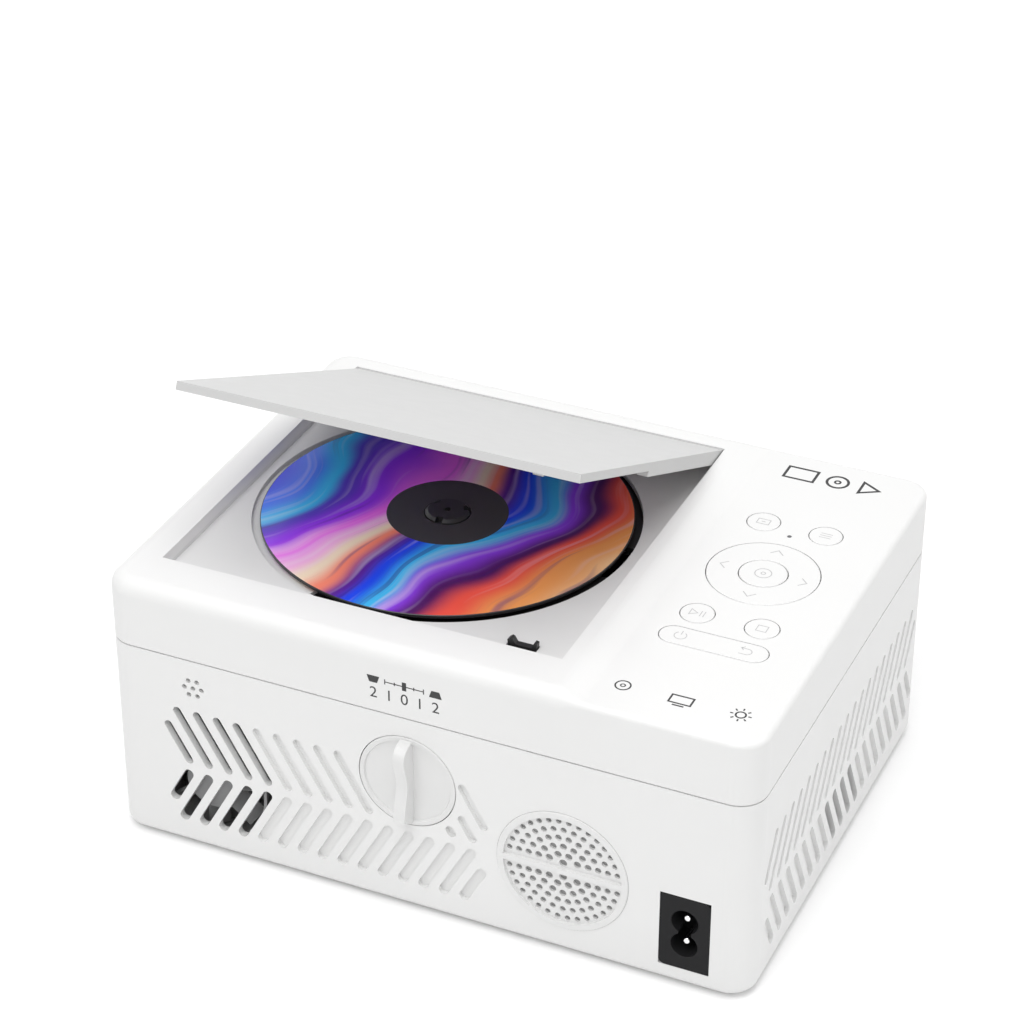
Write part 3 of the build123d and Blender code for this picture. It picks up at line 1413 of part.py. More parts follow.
# ---------------------------------------------------------------- keys
lip_top = ceiling_z - 0.3
lip_bottom = lip_top - 1.2
switch_top = lip_bottom - 0.9
gimbal_z = lip_bottom - gimbal_drop
rocker_pin_z = lip_bottom - rocker_drop
ok_switch_top = lip_bottom - 1.8
with BuildPart() as key_board:
    with BuildSketch(Plane.XY.offset(key_board_z)):
        with Locations((keys_x, 0.0)):
            RectangleRounded(key_board_w, key_board_d, 2.0)
    extrude(amount=board_t)
    with BuildSketch(Plane.XY.offset(key_board_z + board_t)):
        with Locations((keys_x - key_dx, upper_keys_y), (keys_x + key_dx, upper_keys_y)):
            Rectangle(5.0, 5.0)
        with Locations((keys_x - key_dx, lower_keys_y), (keys_x + key_dx, lower_keys_y)):
            Rectangle(5.0, 5.0)
        with Locations((keys_x, pad_y)):
            with PolarLocations(16.0, 4):
                Rectangle(4.0, 4.0)
        with Locations((keys_x - 12.0, rocker_y), (keys_x + 12.0, rocker_y)):
            Rectangle(5.0, 5.0)
    extrude(amount=switch_top - key_board_z - board_t)
    with BuildSketch(Plane.XY.offset(key_board_z + board_t)):
        with Locations((keys_x, pad_y)):
            Rectangle(5.0, 5.0)
    extrude(amount=ok_switch_top - key_board_z - board_t)
    # Bearing posts for the direction gimbal and for the rocker.
    with BuildSketch(Plane.XY.offset(key_board_z + board_t)):
        with Locations((keys_x, pad_y)):
            with GridLocations(1.0, 2 * gimbal_r + 4.2, 1, 2):
                Rectangle(2.4, 1.6)
    extrude(amount=gimbal_z + 0.9 - key_board_z - board_t)
    with BuildSketch(at_y(pad_y - gimbal_r - 4.0)):
        with Locations((keys_x, gimbal_z)):
            Circle(gimbal_pin_r + run_fit)
    extrude(amount=-(2 * gimbal_r + 8.0), mode=Mode.SUBTRACT)
    with BuildSketch(Plane.XY.offset(key_board_z + board_t)):
        with Locations((keys_x, rocker_y)):
            with GridLocations(1.0, 8.4, 1, 2):
                Rectangle(2.4, 1.4)
    extrude(amount=rocker_pin_z + 0.8 - key_board_z - board_t)
    with BuildSketch(at_y(rocker_y - 5.0)):
        with Locations((keys_x, rocker_pin_z)):
            Circle(gimbal_pin_r + run_fit)
    extrude(amount=-10.0, mode=Mode.SUBTRACT)
finish(key_board.part, "key_board")

for key_name, key_x, key_y, cap_r in (
    ("source_key", keys_x - key_dx, upper_keys_y, key_r),
    ("menu_key", keys_x + key_dx, upper_keys_y, key_r),
    ("play_key", keys_x - key_dx, lower_keys_y, key_r),
    ("stop_key", keys_x + key_dx, lower_keys_y, key_r),
):
    with BuildPart() as key_cap:
        with BuildSketch(Plane.XY.offset(lip_bottom)):
            with Locations((key_x, key_y)):
                Circle(cap_r - key_gap / 2)
        extrude(amount=panel_z + cap_proud - lip_bottom)
        fillet(key_cap.edges().group_by(Axis.Z)[-1], radius=0.25)
        with BuildSketch(Plane.XY.offset(lip_bottom)):
            with Locations((key_x, key_y)):
                Circle(cap_r + cap_lip)
        extrude(amount=lip_top - lip_bottom)
    finish(key_cap.part, key_name)

with BuildPart() as ok_key:
    with BuildSketch(Plane.XY.offset(lip_bottom - 0.6)):
        with Locations((keys_x, pad_y)):
            Circle(ok_r - key_gap / 2)
    extrude(amount=panel_z + cap_proud + 0.6 - lip_bottom)
    fillet(ok_key.edges().group_by(Axis.Z)[-1], radius=0.25)
    with BuildSketch(Plane.XY.offset(lip_bottom - 1.05)):
        with Locations((keys_x, pad_y)):
            Circle(ok_r + 1.0)
    extrude(amount=0.6)
finish(ok_key.part, "ok_key")

with BuildPart() as dpad_ring:
    with BuildSketch(Plane.XY.offset(lip_bottom)):
        with Locations((keys_x, pad_y)):
            Circle(pad_r - key_gap / 2)
            Circle(ok_r + key_gap / 2, mode=Mode.SUBTRACT)
    extrude(amount=panel_z + cap_proud - lip_bottom)
    fillet(dpad_ring.edges().group_by(Axis.Z)[-1], radius=0.25)
    with BuildSketch(Plane.XY.offset(lip_bottom)):
        with Locations((keys_x, pad_y)):
            Circle(pad_r + cap_lip)
            Circle(pad_r - 2.0, mode=Mode.SUBTRACT)
    extrude(amount=lip_top - 0.4 - lip_bottom)
    # Lugs that hang on the gimbal's side pins.
    with BuildSketch(Plane.XY.offset(lip_bottom)):
        with Locations((keys_x, pad_y)):
            with GridLocations(2 * gimbal_r + 4.2, 1.0, 2, 1):
                Rectangle(1.6, 2.4)
    extrude(amount=-(gimbal_drop + 1.1))
    with BuildSketch(Plane.YZ.offset(keys_x - gimbal_r - 4.0)):
        with Locations((pad_y, gimbal_z)):
            Circle(gimbal_pin_r + run_fit)
    extrude(amount=2 * gimbal_r + 8.0, mode=Mode.SUBTRACT)
finish(dpad_ring.part, "dpad_ring")

with BuildPart() as dpad_gimbal:
    with BuildSketch(Plane.XY.offset(gimbal_z)):
        with Locations((keys_x, pad_y)):
            Circle(gimbal_r + 0.6)
            Circle(gimbal_r - 1.0, mode=Mode.SUBTRACT)
    extrude(amount=0.8, both=True)
    with BuildSketch(Plane.YZ.offset(keys_x)):
        with Locations((pad_y, gimbal_z)):
            Circle(gimbal_pin_r)
    extrude(amount=gimbal_r + 2.7, both=True)
    with BuildSketch(at_y(pad_y)):
        with Locations((keys_x, gimbal_z)):
            Circle(gimbal_pin_r)
    extrude(amount=gimbal_r + 2.7, both=True)
    with BuildSketch(Plane.XY.offset(gimbal_z)):
        with Locations((keys_x, pad_y)):
            Circle(gimbal_r - 1.0)
    extrude(amount=0.9, both=True, mode=Mode.SUBTRACT)
finish(dpad_gimbal.part, "dpad_gimbal")

with BuildPart() as power_rocker:
    with BuildSketch(Plane.XY.offset(lip_bottom)):
        with Locations((keys_x, rocker_y)):
            SlotOverall(rocker_l - key_gap, rocker_w - key_gap)
    extrude(amount=panel_z + cap_proud - lip_bottom)
    fillet(power_rocker.edges().group_by(Axis.Z)[-1], radius=0.25)
    with BuildSketch(Plane.XY.offset(lip_bottom)):
        with Locations((keys_x, rocker_y)):
            SlotOverall(rocker_l + 2 * cap_lip, rocker_w + 2 * cap_lip)
    extrude(amount=lip_top - 0.4 - lip_bottom)
    # Lug with the two rocking pins.
    with BuildSketch(Plane.XY.offset(lip_bottom)):
        with Locations((keys_x, rocker_y)):
            Rectangle(2.4, 6.0)
    extrude(amount=-(rocker_drop + 0.9))
    with BuildSketch(at_y(rocker_y)):
        with Locations((keys_x, rocker_pin_z)):
            Circle(gimbal_pin_r)
    extrude(amount=4.8, both=True)
finish(power_rocker.part, "power_rocker")

with BuildPart() as power_light:
    with BuildSketch(Plane.XY.offset(key_board_z + board_t)):
        with Locations((keys_x, light_y)):
            Circle(light_r)
    extrude(amount=panel_z - key_board_z - board_t)
finish(power_light.part, "power_light")
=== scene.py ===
import json
import math

import bmesh
import bpy
from mathutils import Matrix, Vector


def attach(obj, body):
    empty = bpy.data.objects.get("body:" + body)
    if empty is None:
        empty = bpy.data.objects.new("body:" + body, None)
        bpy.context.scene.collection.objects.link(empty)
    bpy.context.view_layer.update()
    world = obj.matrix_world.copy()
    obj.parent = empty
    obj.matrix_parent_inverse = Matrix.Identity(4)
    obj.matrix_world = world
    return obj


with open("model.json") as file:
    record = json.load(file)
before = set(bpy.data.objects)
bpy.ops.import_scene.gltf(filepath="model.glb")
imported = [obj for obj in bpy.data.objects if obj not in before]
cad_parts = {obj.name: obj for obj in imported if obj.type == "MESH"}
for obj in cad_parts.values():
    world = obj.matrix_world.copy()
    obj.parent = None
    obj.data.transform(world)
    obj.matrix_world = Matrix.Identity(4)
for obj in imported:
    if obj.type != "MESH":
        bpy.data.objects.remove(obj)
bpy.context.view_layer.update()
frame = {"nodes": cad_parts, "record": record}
nodes = frame["nodes"]
MM = 0.001

# Camera, fitted to the photograph: turn in degrees, place in metres, focal length in pixels.
CAMERA_YAW, CAMERA_PITCH, CAMERA_ROLL = 24.23, 31.647, 0.10
CAMERA_PLACE = (0.33495, -0.75636, 0.6110)
FOCAL_PIXELS, PHOTO_PIXELS, SENSOR_WIDTH = 3095.0, 1024.0, 36.0
CLIP_START, CLIP_END = 0.05, 20.0

# Places in millimetres, as the solids have them.
FOOT = 1.5
PANEL_Z = 92.8 + FOOT
REAR_Y = -80.5
DISC_X, DISC_Y = -29.9, 4.2
SPEAKER_X, SPEAKER_Z = 47.5, 30.25 + FOOT
KEY_TOP = PANEL_Z + 0.1
KEYS_X, KEY_DX = 76.3, 10.4
UPPER_Y, LOWER_Y, PAD_Y, ROCKER_Y = 35.7, -21.8, 7.2, -35.3

# Printed lines and symbols, in millimetres.
LINE_HIGH = 0.03
PLATE_HIGH = 0.04
SINK = 0.01                 # how far their underside lies in what they are printed on
KEY_LINE, BOLD_KEY_LINE = 0.30, 0.34
SCALE_X, SCALE_Z = -4.3, 84.2
SCALE_LINE, SCALE_HALF = 0.35, 6.4
NUMBER_Z, NUMBER_SIZE, NUMBER_PROUD = 79.3, 5.4, 0.005
NUMBER_HALF_THICK = 0.00001         # metres

# The grille's dust cloth, and its parting line drawn as a dark ring that is partly painted shade of
# the proud ring, in millimetres.
CLOTH_R, CLOTH_BEHIND, CLOTH_THICK = 19.0, 1.63, 0.2
PARTING_AND_SHADE_R, PARTING_AND_SHADE_WIDTH, PARTING_AND_SHADE_HIGH = 21.58, 0.16, 0.02

# Stage and light: metres, watts and strengths.
FLOOR_HALF = 4.0
FLOOR_GLOW, FAR_GLOW = 0.12, 0.45
FADE_GAIN, FADE_SHIFT = 1.8, -0.63  # no fade within 0.35 m of the middle, all of it from 0.9 m
WORLD_LIGHT, WORLD_SEEN = 0.62, 1.0
LAMP_TARGET = (0, 0, 0.05)
LAMPS = (   # name, place, size, power
    ("key_lamp", (0.0, -0.95, 1.45), (1.2, 0.9), 10.5),
    ("top_lamp", (0.1, 0.1, 1.9), (1.4, 1.4), 15.0),
    ("end_lamp", (1.5, 0.15, 0.55), (1.0, 0.6), 1.6),
)


# ------------------------------------------------------------------ camera
def add_camera():
    yaw, pitch, roll = (math.radians(a) for a in (CAMERA_YAW, CAMERA_PITCH, CAMERA_ROLL))
    forward = Vector((-math.sin(yaw) * math.cos(pitch), math.cos(yaw) * math.cos(pitch),
                      -math.sin(pitch)))
    level = Vector((math.cos(yaw), math.sin(yaw), 0.0))
    upright = level.cross(forward)
    right = level * math.cos(roll) + upright * math.sin(roll)
    up = upright * math.cos(roll) - level * math.sin(roll)
    turn = Matrix((right, up, -forward)).transposed()
    data = bpy.data.cameras.new("photo_camera")
    data.sensor_width = SENSOR_WIDTH
    data.lens = FOCAL_PIXELS / PHOTO_PIXELS * SENSOR_WIDTH
    data.clip_start = CLIP_START
    data.clip_end = CLIP_END
    camera = bpy.data.objects.new("photo_camera", data)
    camera.matrix_world = Matrix.Translation(CAMERA_PLACE) @ turn.to_4x4()
    bpy.context.scene.collection.objects.link(camera)
    bpy.context.scene.camera = camera


add_camera()


# ------------------------------------------------------------------ material helpers
def new_material(name):
    material = bpy.data.materials.new(name)
    material.use_nodes = True
    tree = material.node_tree
    tree.nodes.clear()
    output = tree.nodes.new("ShaderNodeOutputMaterial")
    shader = tree.nodes.new("ShaderNodeBsdfPrincipled")
    tree.links.new(shader.outputs["BSDF"], output.inputs["Surface"])
    return material, tree, shader


def coords(tree):
    return tree.nodes.new("ShaderNodeTexCoord").outputs["Object"]


def fill(tree, slot, value):
    """Set a socket to a plain value, or link it to another node's output."""
    if isinstance(value, (int, float, tuple)):
        slot.default_value = value
    else:
        tree.links.new(value, slot)


def noise(tree, vector, scale, rough=0.5, detail=2.0, output="Fac"):
    node = tree.nodes.new("ShaderNodeTexNoise")
    node.inputs["Scale"].default_value = scale
    node.inputs["Detail"].default_value = detail
    node.inputs["Roughness"].default_value = rough
    tree.links.new(vector, node.inputs["Vector"])
    return node.outputs[output]


def ramp(tree, value, stops, mode="LINEAR"):
    node = tree.nodes.new("ShaderNodeValToRGB")
    node.color_ramp.interpolation = mode
    elements = node.color_ramp.elements
    while len(elements) > 1:
        elements.remove(elements[0])
    elements[0].position = stops[0][0]
    elements[0].color = stops[0][1]
    for place, colour in stops[1:]:
        element = elements.new(place)
        element.color = colour
    tree.links.new(value, node.inputs["Fac"])
    return node.outputs["Color"]


def maths(tree, kind, *values, clamp=False):
    node = tree.nodes.new("ShaderNodeMath")
    node.operation = kind
    node.use_clamp = clamp
    for slot, value in zip(node.inputs, values):
        fill(tree, slot, value)
    return node.outputs[0]


def vector_maths(tree, kind, *values):
    node = tree.nodes.new("ShaderNodeVectorMath")
    node.operation = kind
    for slot, value in zip(node.inputs, values):
        fill(tree, slot, value)
    return node.outputs["Value" if kind == "LENGTH" else "Vector"]


def mix(tree, factor, a, b):
    node = tree.nodes.new("ShaderNodeMix")
    node.data_type = "RGBA"
    for slot, value in ((node.inputs[0], factor), (node.inputs[6], a), (node.inputs[7], b)):
        fill(tree, slot, value)
    return node.outputs[2]


def bump(tree, shader, height, distance, strength):
    node = tree.nodes.new("ShaderNodeBump")
    node.inputs["Strength"].default_value = strength
    node.inputs["Distance"].default_value = distance
    tree.links.new(height, node.inputs["Height"])
    tree.links.new(node.outputs["Normal"], shader.inputs["Normal"])


def drifting(tree, shader, value, colour, low, high):
    """Base colour that goes from low to high times the given one as the value rises."""
    dim, bright = (tuple(c * gain for c in colour) + (1.0,) for gain in (low, high))
    tree.links.new(ramp(tree, value, [(0.3, dim), (0.7, bright)]), shader.inputs["Base Color"])


def uneven_gloss(tree, shader, value, spread, start):
    tree.links.new(maths(tree, "MULTIPLY_ADD", value, spread, start), shader.inputs["Roughness"])


def seen_plainly(tree):
    """1 for rays from the camera, in a reflection or through glass, and 0 for other light."""
    path = tree.nodes.new("ShaderNodeLightPath")
    mirrored = maths(tree, "MAXIMUM", path.outputs["Is Glossy Ray"],
                     path.outputs["Is Transmission Ray"])
    return maths(tree, "MAXIMUM", path.outputs["Is Camera Ray"], mirrored)


def moulded(name, colour, rough, grain, depth, drift, coat=0.0, metal=0.0, shine=0.5):
    """Moulded plastic or plain metal: slow drift of tone, fine spark texture, uneven gloss."""
    material, tree, shader = new_material(name)
    place = coords(tree)
    drifting(tree, shader, noise(tree, place, 22.0), colour, 1.0 - drift, 1.0 + drift)
    uneven_gloss(tree, shader, noise(tree, place, 160.0), 0.10, rough - 0.05)
    shader.inputs["Metallic"].default_value = metal
    shader.inputs["Specular IOR Level"].default_value = shine
    if coat:
        shader.inputs["Coat Weight"].default_value = coat
        shader.inputs["Coat Roughness"].default_value = 0.12
    bump(tree, shader, noise(tree, place, grain, 0.6), depth, 0.6)
    return material


def turned_metal(name, colour, rough, scale=(9000.0, 300.0, 9000.0)):
    """Metal with fine directional tool marks."""
    material, tree, shader = new_material(name)
    stretch = tree.nodes.new("ShaderNodeMapping")
    stretch.inputs["Scale"].default_value = scale
    tree.links.new(coords(tree), stretch.inputs["Vector"])
    lines = noise(tree, stretch.outputs["Vector"], 1.0)
    drifting(tree, shader, lines, colour, 0.93, 1.05)
    uneven_gloss(tree, shader, lines, 0.15, rough - 0.07)
    shader.inputs["Metallic"].default_value = 1.0
    bump(tree, shader, lines, 0.000004, 0.5)
    return material


def clear_glass(name, colour):
    """Clear glass with a faint drift of tint and gloss."""
    material, tree, shader = new_material(name)
    place = coords(tree)
    drifting(tree, shader, noise(tree, place, 40.0), colour, 0.97, 1.0)
    uneven_gloss(tree, shader, noise(tree, place, 30.0), 0.006, 0.002)
    shader.inputs["Transmission Weight"].default_value = 1.0
    shader.inputs["IOR"].default_value = 1.5
    return material


# ------------------------------------------------------------------ materials
SHELL = (0.835, 0.835, 0.830)

# Colour, roughness, scale of the grain, its depth in metres, drift of tone, further values.
PLASTICS = {
    "white_shell": (SHELL, 0.42, 2400.0, 0.000018, 0.006, {"coat": 0.06}),
    "white_tray": ((0.76, 0.76, 0.755), 0.48, 2400.0, 0.00002, 0.008, {}),
    # The lid is white plastic; its grey of 0.582 against the shell's 0.835 is painted shade for the
    # lid top, which tilts away from the light.
    "white_lid": ((0.582, 0.582, 0.580), 0.40, 2400.0, 0.000018, 0.006, {"coat": 0.05}),
    "white_key": (SHELL, 0.36, 2000.0, 0.00001, 0.006, {"coat": 0.08}),
    "white_knob": ((0.775, 0.775, 0.770), 0.34, 1800.0, 0.00001, 0.006, {"coat": 0.10}),
    "speaker_white": ((0.80, 0.80, 0.795), 0.42, 2400.0, 0.000018, 0.006, {}),
    "black_loader": ((0.018, 0.018, 0.019), 0.42, 1800.0, 0.00002, 0.10, {}),
    "black_plastic": ((0.020, 0.020, 0.021), 0.40, 1800.0, 0.00002, 0.10, {}),
    "black_inlet": ((0.017, 0.017, 0.018), 0.45, 2200.0, 0.00002, 0.08, {"shine": 0.12}),
    "black_rubber": ((0.020, 0.020, 0.020), 0.85, 900.0, 0.00006, 0.15, {}),
    "sled_grey": ((0.22, 0.225, 0.235), 0.5, 1200.0, 0.00004, 0.06, {"metal": 0.7}),
    "gear_nylon": ((0.70, 0.67, 0.56), 0.5, 1500.0, 0.00002, 0.03, {}),
    "dark_optics": ((0.022, 0.022, 0.024), 0.6, 1500.0, 0.00003, 0.10, {}),
    "lcd_glass": ((0.05, 0.055, 0.07), 0.16, 9000.0, 0.000002, 0.05, {"coat": 0.5}),
    "led_white": ((0.78, 0.78, 0.72), 0.4, 1500.0, 0.00001, 0.02, {}),
    "board_green": ((0.03, 0.17, 0.07), 0.36, 600.0, 0.00003, 0.08, {"coat": 0.2}),
    "barrel_black": ((0.022, 0.022, 0.023), 0.38, 1800.0, 0.00002, 0.08, {}),
    "ring_grey": ((0.05, 0.05, 0.053), 0.44, 1800.0, 0.00003, 0.08, {}),
    "fan_grey": ((0.36, 0.36, 0.365), 0.42, 1500.0, 0.00002, 0.10, {}),
    "cone_paper": ((0.20, 0.20, 0.20), 0.8, 700.0, 0.00006, 0.2, {}),
    "ir_dark": ((0.030, 0.010, 0.014), 0.2, 2000.0, 0.00001, 0.05, {}),
    "light_dark": ((0.12, 0.12, 0.13), 0.3, 2000.0, 0.00001, 0.05, {}),
    "turntable_black": ((0.022, 0.022, 0.023), 0.34, 1800.0, 0.00001, 0.08, {}),
    "ink_black": ((0.030, 0.030, 0.031), 0.5, 2200.0, 0.000004, 0.05, {}),
    "key_line": ((0.52, 0.52, 0.52), 0.5, 2200.0, 0.000004, 0.02, {}),
    "dust_cloth": ((0.34, 0.34, 0.34), 0.9, 1500.0, 0.00003, 0.10, {"shine": 0.1}),
}

# Colour, roughness and, where the marks run another way, their scale along x, y and z.
METALS = {
    "steel": ((0.55, 0.56, 0.58), 0.30),
    "screw_steel": ((0.10, 0.10, 0.11), 0.38),
    "brass": ((0.72, 0.50, 0.20), 0.28, (6000.0, 6000.0, 400.0)),
    "pin_chrome": ((0.86, 0.86, 0.87), 0.14),
    "motor_steel": ((0.50, 0.50, 0.52), 0.32),
    "mirror_face": ((0.88, 0.89, 0.90), 0.09),
    "heat_aluminium": ((0.72, 0.73, 0.75), 0.34),
    "reflector_silver": ((0.82, 0.82, 0.83), 0.20),
    "speaker_metal": ((0.22, 0.22, 0.23), 0.36),
    "socket_metal": ((0.60, 0.61, 0.63), 0.26),
}

# Colours of the disc's bands, from the middle of their arcs outwards.
DISC_BANDS = [
    (0.00, (0.00, 0.02, 0.80, 1)), (0.08, (0.01, 0.16, 1.00, 1)), (0.15, (0.02, 0.55, 1.00, 1)),
    (0.19, (0.08, 0.02, 0.60, 1)), (0.27, (0.32, 0.02, 0.95, 1)), (0.34, (0.95, 0.16, 0.95, 1)),
    (0.40, (1.00, 0.50, 0.85, 1)), (0.45, (1.00, 0.80, 0.60, 1)), (0.49, (1.00, 0.26, 0.16, 1)),
    (0.53, (0.10, 0.00, 0.32, 1)), (0.58, (0.00, 0.06, 0.95, 1)), (0.66, (0.05, 0.55, 1.00, 1)),
    (0.71, (0.30, 0.05, 0.90, 1)), (0.77, (0.08, 0.00, 0.12, 1)), (0.82, (1.00, 0.10, 0.06, 1)),
    (0.90, (1.00, 0.38, 0.10, 1)), (1.00, (1.00, 0.66, 0.36, 1)),
]
BAND_GAIN, BAND_SHIFT = 7.9, -0.42
ARC_CENTRE = (0.085, -0.045, 0.0)
WARP_REACH = (0.055, 0.055, 0.0)
PRINT_Z = 0.0912                            # metres, where the warp's noise is read
HUB_RADIUS, RIM_RADIUS = 0.0196, 0.0597     # metres
HUB_COLOUR = (0.045, 0.045, 0.044, 1.0)
RIM_COLOUR = (0.030, 0.030, 0.033, 1.0)
PALE_STREAK = (1.0, 0.86, 1.0, 1.0)
DEEP_STREAK = (0.02, 0.0, 0.24, 1.0)
BLACK, WHITE = (0.0, 0.0, 0.0, 1.0), (1.0, 1.0, 1.0, 1.0)


def disc_material():
    """Printed disc: flowing colour bands, a dark middle, a plain stacking rim."""
    material, tree, shader = new_material("disc_print")
    place = coords(tree)
    move = tree.nodes.new("ShaderNodeMapping")
    move.inputs["Location"].default_value = (-DISC_X * MM, -DISC_Y * MM, -PRINT_Z)
    tree.links.new(place, move.inputs["Vector"])
    centred = move.outputs["Vector"]
    split = tree.nodes.new("ShaderNodeSeparateXYZ")
    tree.links.new(centred, split.inputs[0])
    across, along = split.outputs[0], split.outputs[1]
    radius = maths(tree, "SQRT", maths(tree, "ADD", maths(tree, "MULTIPLY", across, across),
                                       maths(tree, "MULTIPLY", along, along)))
    # Slow warp of the plane, then broad arcs drawn round a point outside the disc.
    warp = noise(tree, centred, 15.0, detail=1.5, output="Color")
    shift = vector_maths(tree, "MULTIPLY_ADD", warp, WARP_REACH, ARC_CENTRE)
    reach = vector_maths(tree, "LENGTH", vector_maths(tree, "ADD", centred, shift))
    sweep = maths(tree, "MULTIPLY_ADD", reach, BAND_GAIN, BAND_SHIFT)
    bands = ramp(tree, sweep, DISC_BANDS, "EASE")
    # Fine pale and deep streaks along the arcs.
    long_way = tree.nodes.new("ShaderNodeCombineXYZ")
    tree.links.new(maths(tree, "MULTIPLY", reach, 220.0), long_way.inputs[0])
    tree.links.new(maths(tree, "MULTIPLY", along, 9.0), long_way.inputs[1])
    streak = noise(tree, long_way.outputs[0], 1.0)
    glow = ramp(tree, streak, [(0.52, BLACK), (0.70, WHITE)])
    lit = mix(tree, maths(tree, "MULTIPLY", glow, 0.34), bands, PALE_STREAK)
    dark = ramp(tree, streak, [(0.30, WHITE), (0.39, BLACK)])
    deep = mix(tree, maths(tree, "MULTIPLY", dark, 0.5), lit, DEEP_STREAK)
    printed = mix(tree, maths(tree, "LESS_THAN", radius, HUB_RADIUS), deep, HUB_COLOUR)
    whole = mix(tree, maths(tree, "GREATER_THAN", radius, RIM_RADIUS), printed, RIM_COLOUR)
    tree.links.new(whole, shader.inputs["Base Color"])
    uneven_gloss(tree, shader, noise(tree, place, 300.0), 0.06, 0.27)
    shader.inputs["Coat Weight"].default_value = 0.15
    shader.inputs["Coat Roughness"].default_value = 0.08
    bump(tree, shader, noise(tree, place, 3000.0), 0.000004, 0.4)
    return material


made = {name: moulded(name, *values, **more) for name, (*values, more) in PLASTICS.items()}
made.update({name: turned_metal(name, *values) for name, values in METALS.items()})
made["lens_clear"] = clear_glass("lens_clear", (0.93, 0.95, 0.99))
made["disc_print"] = disc_material()

for entry in frame["record"]["subparts"]:
    part = nodes[entry["node"]]
    material = made[entry["material_slot"]]
    if not part.material_slots:
        part.data.materials.append(material)
    for slot in part.material_slots:
        slot.material = material


# ------------------------------------------------------------------ mesh helpers
def add_piece(name, mesh, material, body):
    mesh.materials.clear()
    mesh.materials.append(material)
    piece = bpy.data.objects.new(name, mesh)
    bpy.context.scene.collection.objects.link(piece)
    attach(piece, body)


def to_object(bm, name, material, body):
    bmesh.ops.remove_doubles(bm, verts=bm.verts, dist=1e-7)
    bmesh.ops.recalc_face_normals(bm, faces=bm.faces)
    data = bpy.data.meshes.new(name)
    bm.to_mesh(data)
    bm.free()
    add_piece(name, data, material, body)


def ribbon(bm, points, width, place, thick=LINE_HIGH, closed=False):
    """A line of the given width and small height along 2-D points; place maps (u, v, h) to metres."""
    count = len(points)
    left, right = [], []
    for i, (u, v) in enumerate(points):
        before = points[i - 1] if closed or i > 0 else None
        after = points[(i + 1) % count] if closed or i < count - 1 else None
        away = []
        for p, q in ((before, (u, v)), ((u, v), after)):
            if p is None or q is None:
                continue
            d = Vector((q[0] - p[0], q[1] - p[1]))
            if d.length > 1e-9:
                away.append(Vector((-d.y, d.x)).normalized())
        n = sum(away, Vector((0.0, 0.0))).normalized()
        grow = width / 2 / max(0.5, n.dot(away[0]))     # a mitre at most twice as long
        left.append((u + n.x * grow, v + n.y * grow))
        right.append((u - n.x * grow, v - n.y * grow))
    rings = []
    for (lu, lv), (ru, rv) in zip(left, right):
        rings.append([bm.verts.new(place(lu, lv, 0.0)), bm.verts.new(place(lu, lv, thick)),
                      bm.verts.new(place(ru, rv, thick)), bm.verts.new(place(ru, rv, 0.0))])
    last = count if closed else count - 1
    for i in range(last):
        a, b = rings[i], rings[(i + 1) % count]
        for k in range(4):
            bm.faces.new((a[k], a[(k + 1) % 4], b[(k + 1) % 4], b[k]))
    if not closed:
        bm.faces.new(rings[0])
        bm.faces.new(rings[-1][::-1])


def plate(bm, points, place, thick=PLATE_HIGH):
    low = [bm.verts.new(place(u, v, 0.0)) for u, v in points]
    high = [bm.verts.new(place(u, v, thick)) for u, v in points]
    bm.faces.new(low[::-1])
    bm.faces.new(high)
    for i in range(len(points)):
        j = (i + 1) % len(points)
        bm.faces.new((low[i], low[j], high[j], high[i]))


def arc(cx, cy, r, start, end, steps):
    turns = [math.radians(start + (end - start) * i / steps) for i in range(steps + 1)]
    return [(cx + r * math.cos(a), cy + r * math.sin(a)) for a in turns]


def ring(r, steps, cx=0.0):
    return arc(cx, 0, r, 0, 360, steps)[:-1]


def box(x0, y0, x1, y1):
    return [(x0, y0), (x1, y0), (x1, y1), (x0, y1)]


def turned(points, degrees):
    a = math.radians(degrees)
    return [(u * math.cos(a) - v * math.sin(a), u * math.sin(a) + v * math.cos(a))
            for u, v in points]


def on_top(cx, cy, z):
    return lambda u, v, h: Vector(((cx + u) * MM, (cy + v) * MM, (z - SINK + h) * MM))


def on_rear(cx, cz):
    return lambda u, v, h: Vector(((cx + u) * MM, (REAR_Y + SINK - h) * MM, (cz + v) * MM))


def behind_grille(u, v, h):
    return Vector(((SPEAKER_X + u) * MM, (REAR_Y + CLOTH_BEHIND + h) * MM, (SPEAKER_Z + v) * MM))


# ------------------------------------------------------------------ key symbols
def symbol(name, body, cx, cy, closed_lines, open_lines, width=KEY_LINE):
    bm = bmesh.new()
    place = on_top(cx, cy, KEY_TOP)
    for points in closed_lines:
        ribbon(bm, points, width, place, closed=True)
    for points in open_lines:
        ribbon(bm, points, width, place)
    to_object(bm, name, made["key_line"], body)


